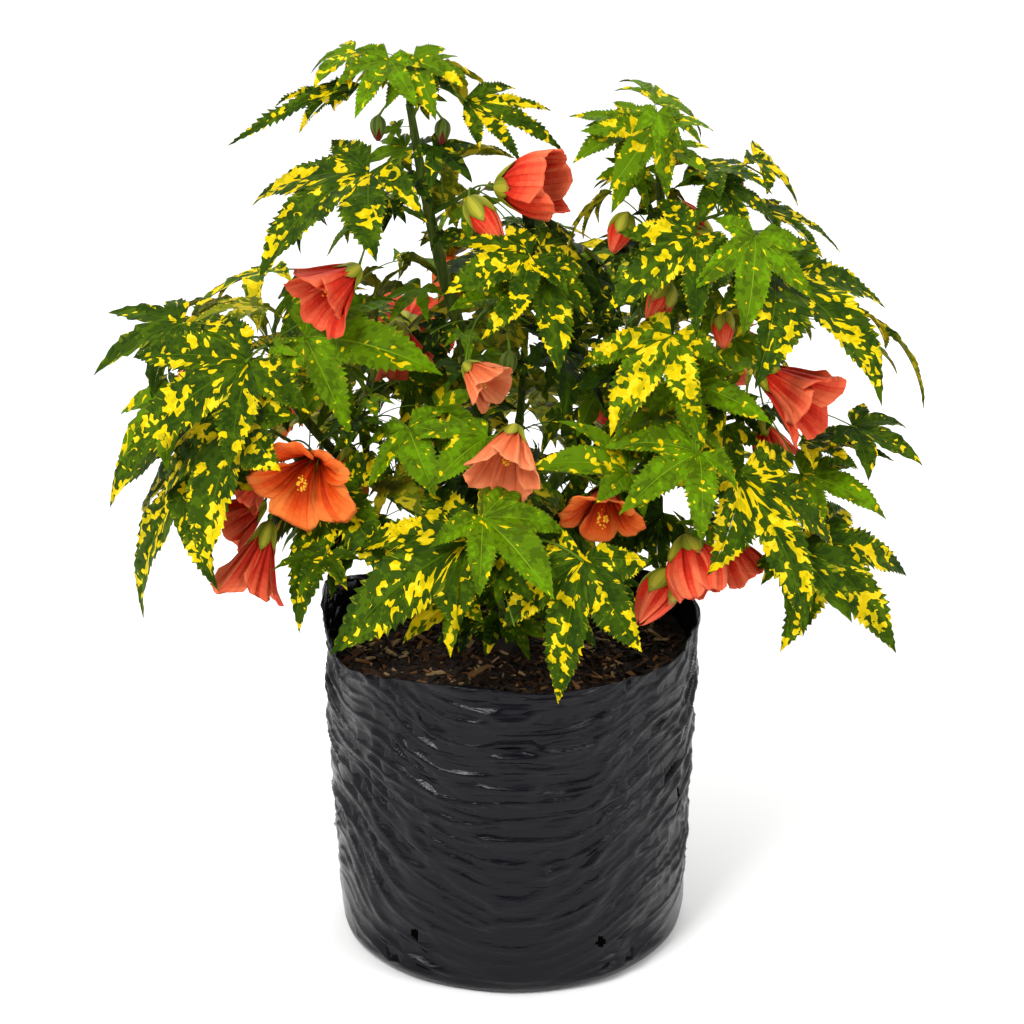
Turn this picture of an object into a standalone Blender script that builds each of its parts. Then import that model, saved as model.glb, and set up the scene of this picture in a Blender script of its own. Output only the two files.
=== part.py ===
"""A flowering maple (abutilon) with mottled leaves, growing in a black film grow bag.

One rigid body, in metres, +Z up, with the origin at the centre of the bag's flat underside.
The bag holds a plug of potting mix. A leading stem and its boughs rise from the mix as
tapering limbs, and each mass of foliage is one solid: a twig with its leaf stalks, blades,
bells and buds fused on, standing 0.3 mm clear of the limb that carries it.
"""

import math
import random

import bmesh
import bpy
from mathutils import Matrix, Vector
from mathutils.bvhtree import BVHTree

MM = 0.001
GAP = 0.3 * MM
GOLDEN_ANGLE = math.radians(137.5)
SMOOTH_ANGLE = math.radians(62)

# Grow bag: a thin film cup, slightly narrower at the foot, with a wavy cut rim
BAG_RADIUS = 100 * MM
BAG_FOOT_RADIUS = 96.5 * MM
BAG_SOLE_RADIUS = 88 * MM
BAG_CORNER_HEIGHT = 9 * MM
BAG_WALL = 1.2 * MM
BAG_RIM_HEIGHT = 176 * MM
BAG_SIDES = 40
RIM_FLAPS = ((172.0, 17.0, 16 * MM), (14.0, 16.0, 10 * MM), (205.0, 16.0, -9 * MM))
RIM_WAVES = ((3, 0.8, 1.6 * MM), (7, 2.1, 1.2 * MM))

# Potting mix: a plug with a gently heaped, lumpy top that is level round the stem
SOIL_EDGE_HEIGHT = 158.5 * MM
SOIL_CROWN = 3.4 * MM
SOIL_LUMP = 1.2 * MM
SOIL_RINGS = (1.0, 0.80, 0.36)

# Leaves: five lobes, angle from the midrib in degrees and length against the middle lobe
LOBES = ((-97.0, 0.50), (-47.0, 0.82), (0.0, 1.0), (47.0, 0.82), (97.0, 0.50))
NOTCHES = ((-141.0, 0.17), (-71.0, 0.32), (-25.0, 0.40), (25.0, 0.40), (71.0, 0.32), (141.0, 0.17))
SHOULDER_REACH = 0.55
SHOULDER_ANGLE = 15.0
BLADE_THICKNESS = 1 / 85
BLADE_ARCH = 0.07
BLADE_CUP = 0.22
STALK_RADIUS = 0.9 * MM
STALK_WIDTH = 1 / 70
STALK_LIFT = 0.09
NECK = 2.5 * MM
OUTWARD_TILT = 0.35
LIGHT_PULL = 0.7
LIGHT_EDGE = 25 * MM
LIGHT_DEPTH = 60 * MM

# Bells, wide-open blooms and buds: mouth radius against length, and petals round the mouth
BLOOM_FLARE = {"bell": 0.46, "open": 0.82, "bud": 0.25}
PETALS = 5
PEDICEL_RADIUS = 0.75 * MM

GREEN = (0.045, 0.155, 0.018)
WOOD = (0.075, 0.085, 0.025)

# Limbs: radius at foot and tip in mm, then the points of the centre line in mm.
# The first is the leader, which stands on the potting mix with a flared foot.
LIMBS = {
    "leader": (5.2, 1.9, ((2, 12, 162.2), (1, 11.5, 172), (-6, 9, 230), (-22, 5, 314),
                          (-37, 2, 373), (-45, 0, 415), (-51, 0, 452))),
    "right_stem": (4.0, 1.8, ((-4, 10, 208), (22, 6, 250), (50, 2, 312), (68, 0, 354),
                              (75, 0, 388), (73, 0, 426))),
    "left_bough": (3.5, 1.7, ((-2, 11, 198), (-42, -2, 232), (-84, -12, 266), (-110, -15, 298),
                              (-118, -15, 318))),
    "right_bough": (3.6, 1.7, ((0, 11, 192), (44, -6, 232), (78, -17, 284), (92, -20, 324),
                               (96, -20, 342))),
    "low_right_bough": (2.8, 1.6, ((1, 11, 180), (45, -24, 206), (86, -48, 234))),
    "front_bough": (2.7, 1.5, ((0, 11, 186), (3, -30, 212), (5, -58, 240))),
    "front_low_bough": (2.5, 1.5, ((1, 11.5, 172), (-4, -38, 190), (-6, -76, 220))),
    "low_left_bough": (2.6, 1.5, ((0, 11, 182), (-40, -20, 208), (-66, -38, 240))),
    "back_left_bough": (3.0, 1.6, ((0, 11, 188), (-30, 50, 226), (-62, 92, 274))),
    "back_right_bough": (3.0, 1.6, ((-1, 11, 200), (38, 55, 240), (72, 98, 286))),
    "back_bough": (2.8, 1.6, ((-5, 9.5, 220), (4, 52, 270), (8, 86, 320))),
    "back_low_bough": (2.6, 1.5, ((1, 11.5, 176), (4, 62, 196), (8, 106, 222))),
}
TWIG_RADII = (1.5 * MM, 1.0 * MM)
TWIG_SIDES = 4
TWIG_LEAD = (GAP, 3 * MM, 6 * MM)
LIMB_SIDES = 6
LIMB_STEPS = 2
ROOT_CLEARANCE = 4.5 * MM

# A piece that would cross its neighbour is eased: out from the axis and up in mm, roll in degrees
EASE = ((0, 0, 0), (0, 4, 8), (0, -4, -8), (4, 0, 10), (-4, 0, -10), (4, 6, -12), (-4, -6, 12), (6, -6, 0),
        (-6, 6, 0), (0, 10, 20), (0, -10, -20), (10, 0, 0), (-10, 0, 0), (8, 12, 15), (8, -12, -15))

# The foot of the leader, which spreads where it stands on the potting mix
FLARED = "leader"
FLARE_RADIUS = 8.5 * MM
FLARE_HEIGHT = 16 * MM

# Leaves that grow by rule: spread of headings, rise of the stalk, its length and the blade's
# against the mass's leaf size, droop of the tip, roll in degrees, and tries before one is skipped
HEADING_SPREAD = 0.35
LEAN_SPREAD = 0.5
STALK_RISE = (-0.35, 0.9)
STALK_SHARE = (0.45, 1.15)
BLADE_SHARE = (0.75, 1.2)
TOP_SHRINK = 0.3
TIP_DROOP = (0.1, 1.1)
ROLL_SPREAD = 14
TRIES = 14

# Foliage masses: the limb that carries each, its twig after it leaves the limb, the sphere
# of space it keeps to (centre, radius), and how many leaves of what length grow by rule.
# "leaves" places single blades as (stalk end, tip, roll in degrees) and "blooms" as
# (kind, foot of calyx, mouth). All lengths are in mm. A twig that starts at a limb's tip
# grows on from it; any other leaves the limb's side at its first point.
MASSES = {
    "leader_crown": dict(
        limb="leader", twig=((-50, 0, 462), (-49, 2, 470)), space=((-60, -5, 448), 98),
        fill=(4, 30), leaves=(
            ((-74, -5, 463), (-138, -36, 440), -20), ((-58, -8, 471), (-78, -16, 468), 10),
            ((-56, -14, 471), (-72, -40, 447), 0), ((-44, 0, 472), (-22, -8, 468), 0),
            ((-45, -11, 470), (-33, -34, 448), 0), ((-52, 10, 469), (-47, 36, 462), 0),
            ((-24, 0, 454), (27, -10, 432), 20)),
        blooms=(("bud", (-66, -12, 449), (-66, -14, 436)), ("bud", (-34, -5, 446), (-35, -8, 433)))),
    "leader_left": dict(
        limb="leader", twig=((-41, 1, 392), (-56, -8, 402), (-64, -15, 409)),
        space=((-88, -28, 396), 78), fill=(2, 45), leaves=(
            ((-70, -28, 424), (-126, -66, 388), 8), ((-62, 6, 398), (-92, 40, 380), 0)),
        blooms=(("bell", (-75, -30, 377), (-103, -52, 358)),)),
    "leader_right": dict(
        limb="leader", twig=((-40, 1, 397), (-28, -3, 404), (-20, -6, 410)),
        space=((-8, -5, 404), 66), fill=(2, 40), leaves=(
            ((-37, 18, 417), (0, 44, 420), -20), ((-41, 15, 415), (-30, 12, 392), 0)),
        blooms=(("bell", (-9, -20, 414), (30, -36, 420)), ("bud", (-22, -25, 411), (-5, -36, 390)))),
    "low_left": dict(
        limb="low_left_bough", twig=((-75, -46, 254), (-78, -48, 266)), space=((-78, -62, 238), 78),
        fill=(6, 42), leaves=(
            ((-80, -34, 270), (-98, -78, 202), 20),),
        blooms=()),
    "centre_top": dict(
        limb="leader", twig=((-26, 4, 332), (-12, -12, 350), (0, -26, 370)),
        space=((2, -34, 352), 78), fill=(8, 42), leaves=(
            ((9, -45, 386), (-32, -72, 374), 10), ((13, -40, 379), (21, -76, 336), -24),
            ((14, -22, 385), (44, -8, 366), 0), ((-6, -30, 360), (-30, -52, 362), 0)),
        blooms=(("bell", (-24, -50, 333), (-8, -62, 322)), ("bud", (-1, -45, 338), (-3, -49, 324)))),
    "right_crown": dict(
        limb="right_stem", twig=((72, 0, 436), (70, 2, 446)), space=((68, -6, 436), 68),
        fill=(5, 34), leaves=(
            ((63, -10, 442), (30, -36, 432), 0), ((63, 2, 445), (36, -4, 446), 0),
            ((78, 5, 442), (103, 16, 437), 0), ((72, 12, 446), (82, 50, 446), 0),
            ((66, -18, 438), (44, -46, 414), 0), ((79, -10, 438), (100, -28, 430), 0)),
        blooms=()),
    "right_upper": dict(
        limb="right_stem", twig=((75, 0, 384), (90, -8, 393), (103, -14, 399)),
        space=((118, -25, 396), 78), fill=(3, 45), leaves=(
            ((95, -15, 427), (128, -34, 424), 0), ((96, -18, 423), (108, -48, 396), 0),
            ((124, 8, 397), (170, 8, 380), 0), ((113, -45, 402), (106, -80, 362), 0)),
        blooms=(("bell", (96, 2, 390), (76, 8, 398)), ("bell", (100, 12, 391), (116, 18, 400)))),
    "right_front": dict(
        limb="right_stem", twig=((66, 0, 352), (70, -16, 366), (76, -28, 380)),
        space=((62, -42, 378), 70), fill=(3, 42), leaves=(
            ((90, -45, 400), (45, -72, 370), 16), ((50, -4, 405), (24, -18, 380), 70)),
        blooms=(("bud", (58, -15, 401), (50, -20, 381)), ("bud", (79, -40, 371), (67, -46, 352)))),
    "right_outer": dict(
        limb="right_bough", twig=((106, -24, 351), (115, -28, 359)), space=((150, -38, 345), 84),
        fill=(3, 50), leaves=(
            ((166, -10, 355), (219, -20, 310), -30), ((129, -42, 373), (184, -84, 326), -16),
            ((144, 10, 334), (118, 16, 300), 30)),
        blooms=(("bud", (104, -40, 358), (105, -46, 339)), ("bud", (125, -40, 362), (126, -42, 348)))),
    "right_mid": dict(
        limb="right_bough", twig=((80, -17, 288), (106, -26, 296), (128, -28, 301)),
        space=((145, -35, 292), 78), fill=(5, 50), leaves=(
            ((148, -20, 283), (195, -32, 278), -10), ((147, -30, 268), (189, -54, 256), 0)),
        blooms=(("bell", (121, -40, 328), (152, -62, 312)), ("bell", (126, -14, 296), (136, -20, 274)))),
    "right_centre": dict(
        limb="right_bough", twig=((85, -19, 304), (84, -36, 314), (82, -48, 322)),
        space=((72, -60, 308), 70), fill=(8, 40), leaves=(
            ((78, -60, 350), (46, -84, 308), 20), ((84, -52, 320), (127, -76, 308), 0),
            ((94, -85, 303), (52, -122, 287), 0)),
        blooms=()),
    "low_right": dict(
        limb="low_right_bough", twig=((98, -56, 246), (112, -62, 264)), space=((128, -72, 238), 92),
        fill=(6, 50), leaves=(
            ((112, -75, 284), (148, -112, 216), -10), ((150, -50, 240), (196, -76, 190), 0)),
        blooms=(("bell", (85, -75, 252), (94, -90, 224)), ("bell", (108, -52, 242), (122, -58, 222)),
                ("bud", (84, -70, 236), (66, -88, 214)))),
    "front_centre": dict(
        limb="front_bough", twig=((6, -62, 262), (3, -60, 292)), space=((12, -70, 282), 70),
        fill=(12, 40), leaves=(
            ((57, -80, 286), (10, -98, 300), 10), ((-12, -66, 300), (-40, -92, 284), 0)),
        blooms=(("open", (49, -70, 281), (45, -92, 264)), ("bell", (2, -74, 304), (-6, -98, 284)))),
    "front_low": dict(
        limb="front_low_bough", twig=((-8, -90, 240), (-4, -96, 256)), space=((-5, -108, 232), 100),
        fill=(8, 40), leaves=(
            ((-21, -95, 256), (-89, -132, 216), 12), ((-14, -100, 274), (20, -132, 246), 0),
            ((35, -105, 251), (21, -126, 182), 20)),
        blooms=()),
    "left_outer": dict(
        limb="left_bough", twig=((-121, -24, 328), (-123, -34, 336)), space=((-148, -40, 325), 84),
        fill=(4, 48), leaves=(
            ((-130, -50, 334), (-188, -84, 300), -10), ((-132, -60, 318), (-153, -99, 254), 35),
            ((-127, 0, 348), (-164, -12, 346), 0)),
        blooms=()),
    "left_low": dict(
        limb="left_bough", twig=((-80, -11, 264), (-104, -22, 277), (-121, -28, 290)),
        space=((-148, -42, 262), 90), fill=(5, 48), leaves=(
            ((-149, -14, 299), (-214, -20, 252), 0), ((-152, -30, 286), (-204, -46, 213), 40),
            ((-144, 4, 280), (-186, 28, 244), 0)),
        blooms=(("open", (-101, -54, 291), (-109, -86, 282)), ("bell", (-122, -36, 290), (-141, -44, 272)),
                ("bell", (-126, -28, 256), (-148, -34, 244)),
                ("bell", (-122, -51, 250), (-135, -61, 215)))),
    "left_centre": dict(
        limb="left_bough", twig=((-60, -7, 247), (-67, -24, 282), (-71, -32, 312)),
        space=((-68, -44, 310), 74), fill=(11, 42), leaves=(
            ((-104, -30, 341), (-36, -52, 333), 0), ((-92, -22, 331), (-106, -52, 312), 0),
            ((-52, -50, 300), (-38, -88, 278), 0)),
        blooms=(("bell", (-60, 2, 340), (-55, 4, 312)), ("bell", (-84, -22, 284), (-86, -30, 260)))),
    "left_back": dict(
        limb="left_bough", twig=((-104, -14.5, 290), (-118, 14, 302), (-128, 32, 318)),
        space=((-132, 38, 300), 80), fill=(10, 58), leaves=(), blooms=(("bell", (-150, 50, 300),
                                                                        (-172, 62, 278)),)),
    "right_back": dict(
        limb="back_right_bough", twig=((30, 44, 232), (76, 42, 278), (118, 40, 322)),
        space=((138, 42, 308), 82), fill=(12, 58), leaves=(), blooms=(("bell", (150, 58, 320),
                                                                         (176, 70, 304)),)),
    "back_left": dict(
        limb="back_left_bough", twig=((-78, 102, 300), (-88, 106, 328)), space=((-92, 106, 282), 100),
        fill=(15, 62), leaves=(), blooms=(("bell", (-120, 120, 276), (-140, 136, 250)),
                                          ("open", (-60, 140, 300), (-62, 164, 286)))),
    "back_right": dict(
        limb="back_right_bough", twig=((88, 108, 312), (96, 110, 338)), space=((92, 108, 290), 100),
        fill=(15, 62), leaves=(), blooms=(("bell", (120, 130, 300), (136, 148, 276)),
                                          ("bell", (60, 140, 262), (58, 160, 236)))),
    "back_top": dict(
        limb="back_bough", twig=((8, 94, 338), (5, 98, 354)), space=((4, 92, 328), 84),
        fill=(12, 56), leaves=(), blooms=(("bell", (-20, 120, 340), (-34, 142, 322)),
                                          ("bud", (24, 112, 352), (30, 122, 332)))),
    "back_low": dict(
        limb="back_low_bough", twig=((6, 122, 242), (4, 128, 262)), space=((4, 132, 238), 88),
        fill=(10, 56), leaves=(), blooms=(("bell", (-30, 150, 250), (-40, 166, 224)),)),
}


def clear_scene():
    """Remove every object the scene starts with."""
    for obj in list(bpy.data.objects):
        bpy.data.objects.remove(obj, do_unlink=True)


def material(name, colour, roughness, metallic=0.0):
    """One Principled material."""
    made = bpy.data.materials.new(name)
    made.use_nodes = True
    shader = made.node_tree.nodes["Principled BSDF"]
    shader.inputs["Base Color"].default_value = (*colour, 1.0)
    shader.inputs["Roughness"].default_value = roughness
    shader.inputs["Metallic"].default_value = metallic
    return made


def solid(name, shape, finish=None):
    """An object holding the closed mesh (vertices, faces), in metres."""
    vertices, faces = shape
    mesh = bpy.data.meshes.new(name)
    mesh.from_pydata([tuple(v) for v in vertices], [], faces)
    if finish:
        mesh.materials.append(finish)
    obj = bpy.data.objects.new(name, mesh)
    bpy.context.scene.collection.objects.link(obj)
    return obj


def rounded(obj):
    """Shade an object's faces smooth, up to its sharp edges."""
    obj.data.shade_smooth()
    obj.data.set_sharp_from_angle(angle=SMOOTH_ANGLE)


def point(place):
    """A place in mm as a vector in metres."""
    return Vector(place) * MM


def smooth_path(places, steps):
    """Catmull-Rom curve through the places, with so many steps between neighbours."""
    ends = [places[0] * 2 - places[1], *places, places[-1] * 2 - places[-2]]
    path = []
    for a, b, c, d in zip(ends, ends[1:], ends[2:], ends[3:]):
        for step in range(steps):
            t = step / steps
            path.append(0.5 * (2 * b + (c - a) * t + (2 * a - 5 * b + 4 * c - d) * t ** 2
                               + (3 * b - a - 3 * c + d) * t ** 3))
    path.append(places[-1].copy())
    return path


def tube(path, radii, sides):
    """A closed round tube along a path: one ring square to the path at each point, and flat ends."""
    vertices = []
    faces = []
    side_way = None
    for i, centre in enumerate(path):
        ahead = path[min(i + 1, len(path) - 1)] - path[max(i - 1, 0)]
        ahead.normalize()
        if side_way is None:
            side_way = ahead.orthogonal()
        side_way = (side_way - ahead * side_way.dot(ahead)).normalized()
        other_way = ahead.cross(side_way)
        for k in range(sides):
            turn = 2 * math.pi * k / sides
            vertices.append(centre + radii[i] * (math.cos(turn) * side_way + math.sin(turn) * other_way))
    for i in range(len(path) - 1):
        for k in range(sides):
            a, b = i * sides + k, i * sides + (k + 1) % sides
            faces.append((a, b, b + sides, a + sides))
    last = (len(path) - 1) * sides
    faces.append(tuple(range(sides - 1, -1, -1)))
    faces.append(tuple(range(last, last + sides)))
    return vertices, faces


def limb_path(name):
    """Centre line of a limb in metres."""
    return smooth_path([point(p) for p in LIMBS[name][2]], LIMB_STEPS)


def limb_shape(name, extra=0.0):
    """The tapering limb, thickened by "extra" all over. The flared one spreads at its foot."""
    foot, tip, _ = LIMBS[name]
    path = limb_path(name)
    radii = []
    for i, centre in enumerate(path):
        radius = (foot + (tip - foot) * i / (len(path) - 1)) * MM
        if name == FLARED:
            rise = max(0.0, 1 - (centre.z - path[0].z) / FLARE_HEIGHT)
            radius += (FLARE_RADIUS - radius) * rise ** 2
        radii.append(radius + extra)
    vertices, faces = tube(path, radii, LIMB_SIDES)
    if name == FLARED:
        for vertex in vertices[:LIMB_SIDES]:
            vertex.z = path[0].z - extra
    return vertices, faces


def blade_frame(base, tip, roll):
    """Axes of a blade: along the midrib, across it, and out of its upper face, which leans away
    from the plant's axis and, on the front of the plant, to the light there."""
    along = (tip - base).normalized()
    outward = Vector((base.x, base.y, 0)).normalized()
    to_light = LIGHT_PULL * min(max((LIGHT_EDGE - base.y) / LIGHT_DEPTH, 0), 1)
    above = Vector((0, -to_light, 1)) + OUTWARD_TILT * outward
    above = (above - along * above.dot(along)).normalized()
    above.rotate(Matrix.Rotation(math.radians(roll), 3, along))
    return Matrix((along, above.cross(along), above)).transposed()


def blade_height(reach, across):
    """Rise of the blade over its chord: arched along the lobes and drooping to both sides."""
    return 4 * BLADE_ARCH * reach * (1 - reach) - BLADE_CUP * across ** 2


def polar(degrees, reach):
    """A point of the flat blade, for a midrib of length 1, raised to its droop."""
    turn = math.radians(degrees)
    x, y = reach * math.cos(turn), reach * math.sin(turn)
    return Vector((x, y, blade_height(reach, y)))


def blade_shape(base, tip, roll, full):
    """A thin blade of five lobes, thickest at the foot of the midrib, and open there in a
    small triangle that its stalk closes: the first three vertices. A full blade has
    shouldered lobes with a raised midrib; a plain one has straight-sided lobes."""
    length = (tip - base).length
    half = BLADE_THICKNESS / 2
    flat = [Vector((0, STALK_WIDTH, 0)), Vector((0, 0, half)), Vector((0, -STALK_WIDTH, 0)),
            Vector((0.03, 0, -half))]
    left_edge, heart, right_edge, underside = range(4)
    rim = [right_edge]
    lobes = []
    for notch, (angle, reach) in zip(NOTCHES, LOBES):
        flat.append(polar(*notch))
        lobe = [len(flat) - 1]
        shouldered = full and reach > 0.6
        turns = (-SHOULDER_ANGLE, 0, SHOULDER_ANGLE) if shouldered else (0,)
        for turn in turns:
            flat.append(polar(angle + turn, reach * (SHOULDER_REACH if turn else 1)))
            lobe.append(len(flat) - 1)
        lobes.append((lobe, angle, reach))
        rim += lobe
    flat.append(polar(*NOTCHES[-1]))
    rim.append(len(flat) - 1)
    rim.append(left_edge)
    faces = [(underside, right_edge, left_edge)]
    for side, centre in ((1, heart), (-1, underside)):
        sheet = [(centre, right_edge, rim[1]), (centre, rim[-2], left_edge)]
        for lobe, angle, reach in lobes:
            after = lobe[-1] + 1
            if len(lobe) == 2:
                sheet += [(centre, lobe[0], lobe[1]), (centre, lobe[1], after)]
            else:
                notch, right, end, left = lobe
                rib = len(flat)
                flat.append(polar(angle, reach * SHOULDER_REACH)
                            + Vector((0, 0, side * BLADE_THICKNESS / 3)))
                sheet += [(centre, notch, right), (centre, right, rib), (rib, right, end),
                          (rib, end, left), (centre, rib, left), (centre, left, after)]
        faces += sheet if side > 0 else [face[::-1] for face in sheet]
    turn = blade_frame(base, tip, roll)
    return [base + turn @ (v * length) for v in flat], faces


def stalk_shape(root, neck, radius, mouth, side):
    """A stalk of as many sides as its mouth has, from a root sunk in the twig to the mouth: the
    ring of points it opens into. Root, a raised middle and the neck each have their own ring."""
    middle = (root + neck) / 2 + Vector((0, 0, STALK_LIFT * (neck - root).length))
    path = [root, middle, neck]
    heading = sum(mouth, Vector()) / len(mouth) - neck
    vertices = []
    for i, centre in enumerate(path):
        ahead = (neck - root).normalized() if i < 2 else (heading.normalized()
                                                          + (neck - middle).normalized())
        ahead.normalize()
        across = (side - ahead * side.dot(ahead)).normalized()
        other = ahead.cross(across)
        for k in range(len(mouth)):
            turn = 2 * math.pi * k / len(mouth)
            vertices.append(centre + radius * (math.cos(turn) * across + math.sin(turn) * other))
    vertices += mouth
    count = len(mouth)
    faces = [tuple(range(count - 1, -1, -1))]
    for i in range(len(path)):
        for k in range(count):
            a, b = i * count + k, i * count + (k + 1) % count
            faces.append((a, b, b + count, a + count))
    return vertices, faces


def leaf_stalk(root, blade, base, tip):
    """The stalk that closes a blade's open foot, bending into line with the midrib."""
    along = (tip - base).normalized()
    mouth = list(blade[0][:3])
    return stalk_shape(root, base - along * NECK, STALK_RADIUS, mouth, mouth[0] - mouth[2])


def bloom_shape(kind, foot, mouth):
    """A bloom open at the foot of its calyx, where its first five vertices take the stalk. The
    calyx swells into five petals round a hollow mouth; a bud is a closed spindle."""
    axis = mouth - foot
    length = axis.length
    axis.normalize()
    side = axis.orthogonal().normalized()
    other = axis.cross(side)

    def ring(reach, radius, count, turn=0.0):
        angles = [2 * math.pi * k / count + turn for k in range(count)]
        return [foot + axis * reach * length
                + radius * length * (math.cos(a) * side + math.sin(a) * other) for a in angles]

    flare = BLOOM_FLARE[kind]
    vertices = ring(0.06, 0.10, PETALS)
    faces = []
    if kind == "bud":
        vertices += ring(0.36, flare, PETALS) + ring(0.70, flare * 0.75, PETALS)
        vertices.append(mouth)
        for k in range(PETALS):
            a, b = k, (k + 1) % PETALS
            for start in (0, PETALS):
                faces.append((a + start, b + start, b + start + PETALS, a + start + PETALS))
            faces.append((a + 2 * PETALS, b + 2 * PETALS, len(vertices) - 1))
        return vertices, faces
    vertices += ring(0.36, 0.22 + 0.16 * flare, PETALS) + ring(0.72, 0.30 + 0.35 * flare, PETALS)
    first_lip = len(vertices)
    for k in range(PETALS):
        turn = 2 * math.pi * k / PETALS
        vertices += ring(1.0, flare, 1, turn) + ring(0.90, flare * 0.88, 1, turn + math.pi / PETALS)
    vertices.append(foot + axis * 0.58 * length)
    heart = len(vertices) - 1
    for k in range(PETALS):
        a, b = k, (k + 1) % PETALS
        for start in (0, PETALS):
            faces.append((a + start, b + start, b + start + PETALS, a + start + PETALS))
        c, d = a + 2 * PETALS, b + 2 * PETALS
        tip_here, dip, tip_next = (first_lip + (2 * k + j) % (2 * PETALS) for j in range(3))
        faces += [(c, dip, tip_here), (c, d, dip), (d, tip_next, dip)]
        faces += [(heart, tip_here, dip), (heart, dip, tip_next)]
    return vertices, faces


def joined(head, stalk):
    """A blade or bloom and its stalk as one closed mesh, sharing the ring they meet in."""
    count = len(stalk[1][0])
    first = len(stalk[0]) - count
    vertices = list(stalk[0]) + list(head[0][count:])
    faces = list(stalk[1]) + [tuple(first + i for i in face) for face in head[1]]
    return vertices, faces


def rim_height(turn):
    """Height of the bag's cut rim: two flaps that stand up, a dip and a slow wave."""
    height = BAG_RIM_HEIGHT
    for middle, width, rise in RIM_FLAPS:
        away = (math.degrees(turn) - middle + 180) % 360 - 180
        height += rise * math.exp(-(away / width) ** 2)
    for count, phase, swell in RIM_WAVES:
        height += swell * math.sin(count * turn + phase)
    return height


def stack_rings(profile, closed_foot, closed_top):
    """A shell of stacked rings: profile(turn) lists (radius, height) up one upright line, and
    the first and last rings close on their centre points."""
    turns = [2 * math.pi * k / BAG_SIDES for k in range(BAG_SIDES)]
    lines = [profile(turn) for turn in turns]
    count = len(lines[0])
    vertices = []
    for turn, line in zip(turns, lines):
        vertices += [Vector((r * math.cos(turn), r * math.sin(turn), z)) for r, z in line]
    foot = len(vertices)
    vertices += [Vector((0, 0, closed_foot)), Vector((0, 0, closed_top))]
    faces = []
    for k in range(BAG_SIDES):
        a, b = k * count, (k + 1) % BAG_SIDES * count
        faces.append((foot, b, a))
        faces.append((foot + 1, a + count - 1, b + count - 1))
        for i in range(count - 1):
            faces.append((a + i, b + i, b + i + 1))
            faces.append((a + i, b + i + 1, a + i + 1))
    return vertices, faces


def wall_radius(height):
    """Outer radius of the bag's wall at a height above its rounded foot."""
    share = (height - BAG_CORNER_HEIGHT) / (BAG_RIM_HEIGHT - BAG_CORNER_HEIGHT)
    return BAG_FOOT_RADIUS + (BAG_RADIUS - BAG_FOOT_RADIUS) * share


def bag_line(turn):
    """Half section of the bag, up the outside, over the rim and down the inside."""
    rim = rim_height(turn)
    outer = [(BAG_SOLE_RADIUS, 0.0)]
    outer += [(wall_radius(z), z) for z in (BAG_CORNER_HEIGHT, SOIL_EDGE_HEIGHT / 2, SOIL_EDGE_HEIGHT, rim)]
    inner = [(r - BAG_WALL, z) for r, z in reversed(outer[1:])]
    return outer + inner + [(BAG_SOLE_RADIUS - BAG_WALL / 2, BAG_WALL)]


def soil_line(turn):
    """Half section of the potting mix, up the bag's inside and over its heaped top."""
    inset = BAG_WALL + GAP
    line = [(BAG_SOLE_RADIUS - BAG_WALL / 2 - GAP, BAG_WALL + GAP)]
    line += [(wall_radius(z) - inset, z + GAP) for z in (BAG_CORNER_HEIGHT, SOIL_EDGE_HEIGHT / 2)]
    edge = wall_radius(SOIL_EDGE_HEIGHT) - inset
    flat_share = SOIL_RINGS[-1]
    for share in SOIL_RINGS:
        lump = SOIL_LUMP * (share - flat_share) * math.sin(5 * turn + 9 * share) * math.sin(3 * turn + 2)
        heap = SOIL_CROWN * (1 - (share - flat_share) / (1 - flat_share))
        line.append((edge * share, SOIL_EDGE_HEIGHT + heap + lump))
    return line


def tree_of(shape):
    """Search tree of a shape's faces."""
    return BVHTree.FromPolygons(shape[0], shape[1])


def eased(place, out, rise):
    """A shift of so many mm away from the plant's axis, and up."""
    return (Vector((place.x, place.y, 0)).normalized() * out + Vector((0, 0, rise))) * MM


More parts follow.
